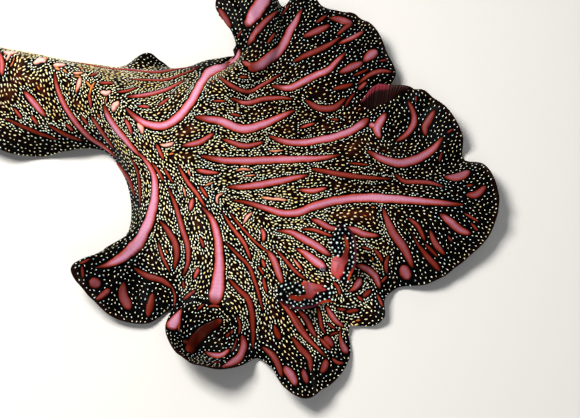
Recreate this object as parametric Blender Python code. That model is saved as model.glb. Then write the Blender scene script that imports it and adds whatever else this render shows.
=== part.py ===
# A carpet flatworm at life size, gliding over uneven ground with its wide rim in folds.
# The head points to +X, the animal's left side is +Y, and the lowest folds rest at z = 0.
# Every size below is in millimetres until place() turns it into metres.

import bmesh
import bpy
import numpy as np

MM = 0.001
CENTRE = np.array([-22.654, 3.678, 0.0])   # middle of the outline, which becomes the origin
GAP = 0.3                              # slit between two neighbouring pieces
RIM_THICKNESS = 0.6                    # flesh at the very edge of the frill
LEAST_THICKNESS = 0.55                 # where the body is pressed on the floor
TRUNK_SHARE = 0.42                     # part of each half's width that belongs to the trunk
RIM_LEVER = 4.0                        # how far in from the rim its slope is felt
LEAST_CURL_POWER = 1.2
FOLD_FADE = 2.1                        # how fast the folds fade towards the back
FOLD_WINDOW = (-9.0, -4.5, 0.0, 4.5, 9.0)
PLAN_COLUMNS = 240                     # grid that spreads each half's plan
PLAN_ROWS = 12
PLAN_ROUNDS = 600

# The back from tail to head: x, y, height of the back, thickness of the body
MIDLINE = (
    (-72.0, -2.2, 1.3, 1.2),
    (-65.0, -2.6, 2.4, 2.0),
    (-57.5, -3.8, 6.0, 2.4),
    (-50.7, -3.8, 10.2, 1.6),
    (-43.8, -1.6, 11.8, 1.5),
    (-37.2, -0.3, 11.9, 1.5),
    (-30.1, -0.5, 11.4, 1.6),
    (-24.8, -1.5, 10.6, 2.2),
    (-19.9, -2.6, 9.6, 2.8),
    (-13.5, -3.8, 8.2, 3.2),
    (-7.5, -4.8, 7.0, 3.2),
    (-1.1, -6.1, 5.8, 3.2),
    (4.9, -7.3, 4.8, 3.0),
    (10.0, -8.2, 3.8, 2.4),
    (13.2, -8.8, 2.6, 1.8),
    (16.6, -9.9, 0.9, 1.0),
)

# The rim of each side, lobe by lobe from tail to head. A lobe has its name, the place along
# the back (0 tail, 1 head) that the hollow after it points to, and its rim as x, y, height
# and slope in degrees, upward positive. Its last row is that hollow.
TAIL_END = {1: (-72.4, 0.8, 0.8, 0), -1: (-72.4, -5.2, 0.8, 0)}
LOBES = {
    1: (
        ("tail", 0.16, ((-70.0, 4.0, 0.8, 0), (-65.0, 7.2, 2.2, 15), (-60.5, 5.2, 1.4, 0),
                        (-57.0, 1.8, 0.5, -40))),
        ("hind", 0.28, ((-53.5, 2.4, 1.8, -45), (-50.0, 3.6, 1.4, -50), (-46.8, 4.6, 0.5, -55))),
        ("waist", 0.37, ((-42.5, 6.6, 1.8, -40), (-38.4, 8.4, 0.5, -55))),
        ("bridge", 0.455, ((-34.2, 12.0, 4.5, -10), (-30.2, 13.8, 0.5, -55))),
        ("notch", 0.53, ((-26.2, 17.2, 2.2, -30), (-22.6, 20.8, 3.0, -10))),
        ("shoulder", 0.62, ((-24.6, 22.3, 4.4, 25), (-28.9, 23.8, 7.0, 40), (-29.5, 28.2, 8.2, 40),
                            (-26.1, 31.4, 7.8, 30), (-22.5, 31.5, 5.4, 10),
                            (-21.0, 31.7, 3.2, -10))),
        ("crown", 0.715, ((-20.4, 33.8, 4.8, 10), (-18.7, 35.4, 5.2, 10), (-15.0, 34.3, 4.6, 0),
                          (-10.5, 36.2, 3.8, -10), (-5.2, 35.4, 3.2, -15), (-2.4, 33.2, 2.6, -20),
                          (0.6, 30.9, 2.0, -20), (0.0, 25.8, 0.5, -40))),
        ("bowl", 0.80, ((1.4, 26.9, 2.8, 20), (5.4, 29.2, 4.2, 20), (10.7, 28.9, 3.8, 10),
                        (15.2, 26.4, 2.8, 0), (17.0, 23.9, 0.5, -20))),
        ("front", 0.915, ((20.1, 23.7, 2.4, 0), (25.1, 19.8, 3.2, 10), (27.1, 13.5, 2.8, 5),
                          (25.8, 7.3, 2.2, 0), (23.1, 1.7, 1.6, 0), (19.3, -1.0, 0.5, -10))),
        ("brow", 1.0, ((18.9, -4.0, 1.6, 10), (20.3, -6.3, 1.4, 10), (19.8, -7.8, 0.8, 0),
                       (18.0, -9.0, 0.5, 0))),
    ),
    -1: (
        ("tail", 0.15, ((-69.8, -8.6, 0.8, 0), (-64.0, -13.5, 2.2, 15), (-56.0, -13.0, 0.5, -25))),
        ("hind", 0.35, ((-49.5, -14.2, 3.0, -5), (-43.4, -13.7, 2.4, -30), (-39.1, -10.8, 0.5, -55))),
        ("bridge", 0.45, ((-34.5, -7.4, 2.0, -50), (-31.2, -5.0, 1.0, -60))),
        ("notch", 0.54, ((-25.9, -7.0, 1.2, -60), (-22.2, -10.4, 0.5, -45))),
        ("flank", 0.66, ((-19.4, -16.1, 2.0, -20), (-20.8, -20.9, 3.8, 10), (-22.3, -25.3, 4.6, 25),
                         (-18.1, -27.1, 3.6, 15), (-12.7, -27.4, 2.0, 5), (-8.8, -25.4, 1.4, -10),
                         (-7.3, -21.6, 0.5, -30))),
        ("cup", 0.79, ((-5.5, -25.5, 3.4, 50), (-0.5, -28.4, 5.2, 70), (4.2, -27.7, 5.4, 70),
                       (7.0, -24.2, 3.0, 40), (7.9, -21.4, 0.5, -20))),
        ("front", 1.0, ((10.4, -22.1, 2.2, 10), (14.0, -24.0, 3.4, 20), (17.3, -24.1, 3.4, 20),
                        (18.9, -20.8, 2.4, 10), (19.6, -16.3, 1.4, 0), (18.6, -13.0, 0.6, 0),
                        (17.2, -11.3, 0.5, 0))),
    ),
}
SIDE_NAMES = {1: "left", -1: "right"}

# Swellings and hollows of the back: x, y, radius, height
RELIEF = (
    (-3.0, -20.3, 2.2, 1.8),
    (1.6, -19.0, 2.0, 1.4),
    (1.2, -23.2, 2.4, -1.4),
    (9.2, 22.0, 3.8, -2.2),
    (-12.0, -22.6, 3.0, -1.0),
    (11.8, -17.2, 2.5, -0.8),
    (-6.1, 27.6, 3.0, 1.0),
)

# Trunk pieces: name and the stretch of the back that each covers
TRUNK = (
    ("trunk_tail", 0.0, 0.14),
    ("trunk_hind", 0.14, 0.31),
    ("trunk_bridge", 0.31, 0.48),
    ("trunk_middle", 0.48, 0.78),
    ("head", 0.78, 1.0),
)

# Pseudotentacles, folds of the front rim that curl like a crook. The spine of each runs
# from its root up to the bend and back down: x, y, height, inner width, outer width
TENTACLES = {
    1: (
        (13.2, -5.8, 1.8, 0.5, 0.9),
        (12.2, -4.7, 3.2, 1.8, 1.0),
        (12.0, -3.0, 4.8, 2.4, 1.1),
        (11.3, -1.7, 6.4, 0.8, 1.1),
        (10.3, -0.7, 7.6, 0.5, 1.1),
        (9.4, -0.6, 8.2, 0.5, 1.0),
        (9.3, -1.7, 7.9, 0.7, 0.9),
        (10.0, -2.8, 7.2, 1.1, 0.9),
        (11.0, -3.5, 6.5, 0.7, 0.6),
    ),
    -1: (
        (13.0, -7.4, 1.8, 0.5, 0.9),
        (11.4, -8.8, 3.2, 1.5, 1.0),
        (10.3, -11.2, 4.8, 2.9, 1.1),
        (9.1, -13.0, 6.4, 1.0, 1.1),
        (7.8, -13.6, 7.6, 0.5, 1.1),
        (7.1, -13.3, 8.2, 0.5, 1.0),
        (7.5, -12.3, 7.9, 0.7, 0.9),
        (8.6, -11.6, 7.2, 1.1, 0.9),
        (9.5, -11.4, 6.5, 0.7, 0.6),
    ),
}
TENTACLE_THICKNESS = 0.7
TENTACLE_FACING = np.array([0.25, -0.40, 0.88])   # way that the inner faces look
TENTACLE_CUP = 0.9                     # how far the outer edge of the crook curls over

COLUMN_STEP = 1.7                      # length of one mesh cell along the rim
TRUNK_STEP = 1.5                       # the same along the back
FRILL_ROWS = 8
TRUNK_ROWS = 10
TENTACLE_COLUMNS = 22
TENTACLE_ROWS = 6

COLOURS = {
    "trunk": (0.12, 0.02, 0.02, 1.0),
    "frill": (0.03, 0.01, 0.01, 1.0),
    "tentacle": (0.20, 0.02, 0.02, 1.0),
}


def slopes(knots, values, monotone):
    """Slope of a smooth curve at each of its points."""
    step = np.diff(knots)[:, None]
    rate = np.diff(values, axis=0) / step
    slope = np.empty_like(values)
    slope[0], slope[-1] = rate[0], rate[-1]
    before, after = rate[:-1], rate[1:]
    if monotone:
        weight_a = 2 * step[1:] + step[:-1]
        weight_b = step[1:] + 2 * step[:-1]
        same_way = before * after > 0
        safe_a = np.where(same_way, before, 1.0)
        safe_b = np.where(same_way, after, 1.0)
        mean = (weight_a + weight_b) / (weight_a / safe_a + weight_b / safe_b)
        slope[1:-1] = np.where(same_way, mean, 0.0)
    else:
        slope[1:-1] = (before * step[1:] + after * step[:-1]) / (step[:-1] + step[1:])
    return slope


def curve(knots, values, at, monotone=False):
    """Smooth curve through the values given at the knots, read at other places."""
    values = np.asarray(values, float).reshape(len(knots), -1)
    slope = slopes(knots, values, monotone)
    at = np.clip(at, knots[0], knots[-1])
    cell = np.clip(np.searchsorted(knots, at, side="right") - 1, 0, len(knots) - 2)
    step = (knots[cell + 1] - knots[cell])[:, None]
    u = (at - knots[cell])[:, None] / step
    return ((1 + 2 * u) * (1 - u) ** 2 * values[cell] + u * (1 - u) ** 2 * step * slope[cell]
            + u * u * (3 - 2 * u) * values[cell + 1] + u * u * (u - 1) * step * slope[cell + 1])


def run_lengths(points):
    """Distance along a row of points, from its first one."""
    steps = np.linalg.norm(np.diff(points, axis=0), axis=1)
    return np.concatenate([[0.0], np.cumsum(steps)])


BACK = np.array(MIDLINE)
BACK_KNOTS = run_lengths(BACK[:, :2])
BACK_LENGTH = BACK_KNOTS[-1]
BACK_KNOTS = BACK_KNOTS / BACK_LENGTH


def read_rim(side):
    """Rim points of one side, with the distance and the place on the back of each hollow."""
    rows = [TAIL_END[side]]
    stations = [0.0]
    hollows = [0]
    for _, station, lobe in LOBES[side]:
        rows.extend(lobe)
        stations.append(station)
        hollows.append(len(rows) - 1)
    rows = np.array(rows, float)
    distance = run_lengths(rows[:, :3])
    return {"rows": rows, "distance": distance, "stations": np.array(stations),
            "hollows": distance[hollows]}


RIMS = {side: read_rim(side) for side in LOBES}


def back_point(s):
    return curve(BACK_KNOTS, BACK[:, :3], s)


def rim_point(side, s):
    """Rim point, rim slope and the rim's height without its folds, for places on the back."""
    rim = RIMS[side]
    distance = curve(rim["stations"], rim["hollows"], s, monotone=True)[:, 0]
    point = curve(rim["distance"], rim["rows"][:, :3], distance)
    slope = curve(rim["distance"], rim["rows"][:, 3], distance, monotone=True)[:, 0]
    level = np.mean([curve(rim["distance"], rim["rows"][:, 2], distance + off)[:, 0]
                     for off in FOLD_WINDOW], axis=0)
    return point, slope, level


def spread_plan(side):
    """Plan of one half as a grid, relaxed until its ribs fan out evenly and none cross."""
    s = np.linspace(0.0, 1.0, PLAN_COLUMNS + 1)
    t = np.linspace(0.0, 1.0, PLAN_ROWS + 1)[None, :, None]
    start = back_point(s)[:, None, :2]
    end = rim_point(side, s)[0][:, None, :2]
    grid = start * (1 - t) + end * t
    for _ in range(PLAN_ROUNDS):
        ahead, behind = grid[2:, 1:-1], grid[:-2, 1:-1]
        outer, inner = grid[1:-1, 2:], grid[1:-1, :-2]
        along, across = (ahead - behind) / 2, (outer - inner) / 2
        a = np.sum(across * across, axis=2, keepdims=True)
        b = np.sum(along * across, axis=2, keepdims=True)
        c = np.sum(along * along, axis=2, keepdims=True)
        twist = (grid[2:, 2:] - grid[2:, :-2] - grid[:-2, 2:] + grid[:-2, :-2]) / 4
        grid[1:-1, 1:-1] = ((a * (ahead + behind) + c * (outer + inner) - 2 * b * twist)
                            / (2 * (a + c)))
    return grid


def grid_weights(place, cells):
    """The four grid lines round a place between 0 and 1, with their smooth weights."""
    place = np.clip(place, 0.0, 1.0) * cells
    cell = np.clip(np.floor(place).astype(int), 0, cells - 1)
    u = place - cell
    weights = (-0.5 * u + u * u - 0.5 * u ** 3, 1 - 2.5 * u * u + 1.5 * u ** 3,
               0.5 * u + 2 * u * u - 1.5 * u ** 3, -0.5 * u * u + 0.5 * u ** 3)
    return [(cell + step, weight) for step, weight in zip((-1, 0, 1, 2), weights)]


def pad(grid):
    """The grid with one more line on each edge, continued straight."""
    grid = np.concatenate([2 * grid[:1] - grid[1:2], grid, 2 * grid[-1:] - grid[-2:-1]])
    return np.concatenate([2 * grid[:, :1] - grid[:, 1:2], grid,
                           2 * grid[:, -1:] - grid[:, -2:-1]], axis=1)


PLANS = {side: pad(spread_plan(side)) for side in LOBES}


def plan_point(side, s, t):
    total = 0.0
    for column, weight_s in grid_weights(s, PLAN_COLUMNS):
        for row, weight_t in grid_weights(t, PLAN_ROWS):
            total = total + PLANS[side][column + 1, row + 1] * (weight_s * weight_t)[:, None]
    return total


def rib(side, s, t):
    """Point of the upper surface, t of the way from the back to the rim of one side."""
    start = back_point(s)
    end, slope, level = rim_point(side, s)
    reach = np.linalg.norm(end - start, axis=1)
    ease = t * t * (3 - 2 * t)
    power = np.maximum(reach / RIM_LEVER - 1, LEAST_CURL_POWER)
    curl = (1 - t) * t ** power * reach * np.tan(np.radians(slope))
    height = start[:, 2] + ease * (level - start[:, 2]) + t ** FOLD_FADE * (end[:, 2] - level) - curl
    return np.column_stack([plan_point(side, s, t), height])


def upper(s, t):
    """Upper surface. s runs from tail to head, t from the right rim (-1) to the left (1)."""
    s = np.clip(s, 0.0, 1.0)
    t = np.clip(t, -1.0, 1.0)
    point = np.where((t >= 0)[:, None], rib(1, s, np.abs(t)), rib(-1, s, np.abs(t)))
    for x, y, radius, height in RELIEF:
        off = (point[:, 0] - x) ** 2 + (point[:, 1] - y) ** 2
        point[:, 2] += height * np.exp(-off / (2 * radius * radius))
    return point


def directions(s, t):
    """Change of the upper surface along the body and across it."""
    ds, dt = 0.002, 0.02
    s_back, s_front = np.clip(s - ds, 0, 1), np.clip(s + ds, 0, 1)
    t_low, t_high = np.clip(t - dt, -1, 1), np.clip(t + dt, -1, 1)
    along = (upper(s_front, t) - upper(s_back, t)) / (s_front - s_back)[:, None]
    across = (upper(s, t_high) - upper(s, t_low)) / (t_high - t_low)[:, None]
    return along, across


def normals(s, t):
    along, across = directions(s, t)
    up = np.cross(along, across)
    return up / np.maximum(np.linalg.norm(up, axis=1), 1e-9)[:, None]


def thickness(s, t):
    """Flesh below the upper surface, full at the back and thin at the rim."""
    full = curve(BACK_KNOTS, BACK[:, 3], s)[:, 0]
    return RIM_THICKNESS + (full - RIM_THICKNESS) * (1 - t * t) ** 3


def flesh(s, t, below):
    """Points of the upper surface, or of the lower one where below is 1."""
    top = upper(s, t)
    bottom = top - normals(s, t) * thickness(s, t)[:, None]
    bottom[:, 2] = np.maximum(bottom[:, 2], 0.0)
    top[:, 2] = np.maximum(top[:, 2], bottom[:, 2] + 0.4 * LEAST_THICKNESS)
    top[:, 2] = np.maximum(top[:, 2], LEAST_THICKNESS)
    return np.where((below > 0.5)[:, None], bottom, top)


def inset_s(s, t, way):
    """Place half a gap further along the body, measured square to the rib."""
    along, across = directions(s, t)
    across /= np.maximum(np.linalg.norm(across, axis=1), 1e-9)[:, None]
    square = np.linalg.norm(np.cross(along, across), axis=1)
    return s + way * 0.5 * GAP / np.maximum(square, 1e-6)


def inset_t(s, t, way):
    """Place half a gap further across the body, measured square to the body's length."""
    along, across = directions(s, t)
    along /= np.maximum(np.linalg.norm(along, axis=1), 1e-9)[:, None]
    square = np.linalg.norm(np.cross(across, along), axis=1)
    return t + way * 0.5 * GAP / np.maximum(square, 1e-6)


def patch(u, v, stretch, band):
    """Body places of a piece's own 0 to 1 grid, half a gap inside the slits round it."""
    s = stretch[0] + (stretch[1] - stretch[0]) * u
    t = band[0] + (band[1] - band[0]) * v
    s_low, s_high = np.full(len(u), stretch[0]), np.full(len(u), stretch[1])
    t_low, t_high = np.full(len(u), band[0]), np.full(len(u), band[1])
    if stretch[0] > 0:
        s_low = inset_s(s_low, t, 1)
    if stretch[1] < 1:
        s_high = inset_s(s_high, t, -1)
    if band[0] > -1:
        t_low = inset_t(s, t_low, 1)
    if band[1] < 1:
        t_high = inset_t(s, t_high, -1)
    return s_low + (s_high - s_low) * u, t_low + (t_high - t_low) * v


def sheet(name, columns, rows, bend, colour):
    """Closed slab: a flat grid given a lower copy, then bent to shape by its own function."""
    mesh = bpy.data.meshes.new(name)
    bm = bmesh.new()
    bmesh.ops.create_grid(bm, x_segments=columns, y_segments=rows, size=0.5)
    bmesh.ops.translate(bm, verts=bm.verts, vec=(0.5, 0.5, 0.0))
    bmesh.ops.triangulate(bm, faces=bm.faces, quad_method="FIXED")
    copied = bmesh.ops.extrude_face_region(bm, geom=bm.faces[:])
    lower = [item for item in copied["geom"] if isinstance(item, bmesh.types.BMVert)]
    bmesh.ops.translate(bm, verts=lower, vec=(0.0, 0.0, -1.0))
    bmesh.ops.triangulate(bm, faces=[face for face in bm.faces if len(face.verts) > 3])
    grid = np.array([vert.co for vert in bm.verts])
    for vert, point in zip(bm.verts, bend(grid[:, 0], grid[:, 1], -grid[:, 2])):
        vert.co = (point - CENTRE) * MM
    bmesh.ops.recalc_face_normals(bm, faces=bm.faces)
    if bm.calc_volume(signed=True) < 0:
        bmesh.ops.reverse_faces(bm, faces=bm.faces)
    bm.to_mesh(mesh)
    bm.free()
    mesh.materials.append(skin_material(name, colour))
    mesh.shade_smooth()
    piece = bpy.data.objects.new(name, mesh)
    bpy.context.collection.objects.link(piece)
    return piece


def skin_material(name, colour):
    material = bpy.data.materials.new(name + "_skin")
    material.use_nodes = True
    shader = material.node_tree.nodes["Principled BSDF"]
    shader.inputs["Base Color"].default_value = colour
    shader.inputs["Roughness"].default_value = 0.45
    shader.inputs["Metallic"].default_value = 0.0
    return material


def body_piece(name, stretch, band, columns, rows, colour):
    def bend(u, v, below):
        s, t = patch(u, v, stretch, band)
        return flesh(s, t, below)
    return sheet(name, columns, rows, bend, colour)


def make_trunk():
    for name, start, end in TRUNK:
        columns = int(np.ceil((end - start) * BACK_LENGTH / TRUNK_STEP))
        body_piece(name, (start, end), (-TRUNK_SHARE, TRUNK_SHARE), columns, TRUNK_ROWS,
                   COLOURS["trunk"])


def make_frills():
    for side, lobes in LOBES.items():
        band = (TRUNK_SHARE, 1.0) if side > 0 else (-1.0, -TRUNK_SHARE)
        ends = RIMS[side]["hollows"]
        start = 0.0
        for number, (name, station, _) in enumerate(lobes):
            columns = int(np.ceil((ends[number + 1] - ends[number]) / COLUMN_STEP))
            body_piece(f"frill_{SIDE_NAMES[side]}_{name}", (start, station), band,
                       max(columns, 5), FRILL_ROWS, COLOURS["frill"])
            start = station


def ground_under(points, reach=0.6):
    """Height of the head's upper surface under each point."""
    s, t = np.meshgrid(np.linspace(0.7, 1.0, 140), np.linspace(-0.8, 0.8, 160))
    top = flesh(s.ravel(), t.ravel(), np.zeros(s.size))
    heights = np.zeros(len(points))
    for number, point in enumerate(points):
        off = np.hypot(top[:, 0] - point[0], top[:, 1] - point[1])
        close = top[off < reach, 2]
        heights[number] = close.max() if len(close) else 0.0
    return heights


def crook(rows, hand, u, v, below):
    """Cupped leaf along a hooked spine, its wider inner edge on the side that it hooks to."""
    rows = np.array(rows)
    knots = run_lengths(rows[:, :3])
    at = u * knots[-1]
    spine = curve(knots, rows[:, :3], at)
    width = curve(knots, rows[:, 3:], at)
    small = 0.02
    ahead = curve(knots, rows[:, :3], at + small) - curve(knots, rows[:, :3], at - small)
    ahead /= np.linalg.norm(ahead, axis=1)[:, None]
    inward = hand * np.cross(TENTACLE_FACING, ahead)
    inward /= np.linalg.norm(inward, axis=1)[:, None]
    face = hand * np.cross(ahead, inward)
    across = 1 - 2 * v
    level = np.where(across > 0, across * width[:, 0], across * width[:, 1])
    curl = TENTACLE_CUP * np.clip(-across, 0, 1) ** 2
    point = spine + inward * level[:, None] + face * curl[:, None]
    return point - face * (below * TENTACLE_THICKNESS)[:, None]


def make_tentacles():
    for side, rows in TENTACLES.items():
        def bend(u, v, below):
            point = crook(rows, side, u, v, below)
            floor = ground_under(point) + GAP
            point[:, 2] = np.maximum(point[:, 2], floor + (1 - below) * TENTACLE_THICKNESS)
            return point
        sheet(f"pseudotentacle_{SIDE_NAMES[side]}", TENTACLE_COLUMNS, TENTACLE_ROWS, bend,
              COLOURS["tentacle"])


for old in list(bpy.data.objects):
    bpy.data.objects.remove(old)
make_trunk()
make_frills()
make_tentacles()
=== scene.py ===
import math

import bpy
import numpy as np
from mathutils import Matrix, Vector
from mathutils.bvhtree import BVHTree
from mathutils.kdtree import KDTree


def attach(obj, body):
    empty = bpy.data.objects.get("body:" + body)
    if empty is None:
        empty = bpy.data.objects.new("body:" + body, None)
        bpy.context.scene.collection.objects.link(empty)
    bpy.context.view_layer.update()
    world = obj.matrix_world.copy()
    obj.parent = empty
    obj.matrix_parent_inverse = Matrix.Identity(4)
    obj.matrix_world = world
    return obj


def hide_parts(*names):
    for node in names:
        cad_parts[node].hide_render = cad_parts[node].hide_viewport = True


# A carpet flatworm, life size, with its head towards +X and its left side towards +Y.
# Shapes are worked out in millimetres in the row frame and made metres when a mesh is written.

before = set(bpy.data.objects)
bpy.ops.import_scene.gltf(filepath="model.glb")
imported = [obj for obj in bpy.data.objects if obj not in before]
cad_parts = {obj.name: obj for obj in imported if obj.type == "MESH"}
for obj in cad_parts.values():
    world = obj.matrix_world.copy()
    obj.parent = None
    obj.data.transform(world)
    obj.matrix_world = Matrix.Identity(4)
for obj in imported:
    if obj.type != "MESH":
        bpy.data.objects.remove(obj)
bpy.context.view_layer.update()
bpy.ops.object.select_all(action="DESELECT")
print("frame loaded")

mm = 0.001
chance = np.random.default_rng(11)

# The photograph's camera. Markings are set on the skin along its lines of sight
photo = {
    "wide": 580,
    "high": 418,
    "lens": 100.0,
    "sensor": 36.0,
    "target": (22.654, -3.678, 5.0),
    "azimuth": 32.0,
    "elevation": 62.0,
    "distance": 241.7,
}


def oneLong(vectors, least=1e-9):
    # the same vectors at length 1
    return vectors / np.maximum(np.linalg.norm(vectors, axis=-1, keepdims=True), least)


def cameraAxes():
    turn, rise = math.radians(photo["azimuth"]), math.radians(photo["elevation"])
    toEye = np.array([math.sin(turn) * math.cos(rise), -math.cos(turn) * math.cos(rise), math.sin(rise)])
    right = np.array([math.cos(turn), math.sin(turn), 0.0])
    return right, np.cross(toEye, right), toEye


viewRight, viewUp, viewBack = cameraAxes()
eye = np.array(photo["target"]) + viewBack * photo["distance"]
pixelSize = photo["sensor"] / photo["wide"]
mmPerPixel = pixelSize * photo["distance"] / photo["lens"]


def pixelRay(pixel):
    across = (pixel[0] - photo["wide"] / 2) * pixelSize
    down = (pixel[1] - photo["high"] / 2) * pixelSize
    return oneLong(viewRight * across - viewUp * down - viewBack * photo["lens"])


def pixelOf(points):
    off = points - eye
    depth = -(off @ viewBack)
    scale = photo["lens"] / pixelSize / depth
    return np.column_stack([photo["wide"] / 2 + (off @ viewRight) * scale,
                            photo["high"] / 2 - (off @ viewUp) * scale])


def addCamera():
    bpy.ops.object.camera_add()
    camera = bpy.context.object
    camera.data.lens = photo["lens"]
    camera.data.sensor_width = photo["sensor"]
    camera.data.clip_start, camera.data.clip_end = 0.01, 5.0
    turn = Matrix((viewRight, viewUp, viewBack)).transposed()
    camera.matrix_world = Matrix.Translation(Vector(eye * mm)) @ turn.to_4x4()
    bpy.context.scene.camera = camera


# Lamps: name, place and aim in mm, size in mm, power in watts, colour
studio = {
    "floorSize": 1600.0,
    "floorDrop": 0.05,
    "floorColour": (0.62, 0.61, 0.59, 1.0),
    "floorRoughness": 0.85,
    "skyColour": (0.93, 0.96, 1.0, 1.0),
    "skyStrength": 0.14,
    "lamps": (
        ("key", (-110.0, -20.0, 200.0), (0.0, 0.0, 0.0), 100.0, 0.95, (1.0, 0.97, 0.93)),
        ("front", (240.0, -190.0, 230.0), (5.0, 0.0, 3.0), 200.0, 0.40, (0.96, 0.98, 1.0)),
        ("far", (40.0, 300.0, 110.0), (0.0, 0.0, 4.0), 140.0, 0.14, (1.0, 0.96, 0.92)),
    ),
}


def addStudio():
    drop = studio["floorDrop"] * mm
    bpy.ops.mesh.primitive_plane_add(size=studio["floorSize"] * mm, location=(0, 0, -drop))
    floor = bpy.context.object
    floor.name = "floor"
    finish = bpy.data.materials.new("paleFloor")
    finish.use_nodes = True
    shader = finish.node_tree.nodes["Principled BSDF"]
    shader.inputs["Base Color"].default_value = studio["floorColour"]
    shader.inputs["Roughness"].default_value = studio["floorRoughness"]
    floor.data.materials.append(finish)
    for name, place, aim, size, power, colour in studio["lamps"]:
        bpy.ops.object.light_add(type="AREA", location=Vector(place) * mm)
        lamp = bpy.context.object
        lamp.name = name
        lamp.data.size = size * mm
        lamp.data.energy = power
        lamp.data.color = colour
        lamp.rotation_euler = (Vector(place) - Vector(aim)).to_track_quat("Z", "Y").to_euler()
    world = bpy.data.worlds.new("softRoom")
    bpy.context.scene.world = world
    world.use_nodes = True
    sky = world.node_tree.nodes["Background"]
    sky.inputs["Color"].default_value = studio["skyColour"]
    sky.inputs["Strength"].default_value = studio["skyStrength"]
    bpy.context.scene.view_settings.view_transform = "Standard"


addCamera()
addStudio()
print("camera and studio set")

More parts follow.
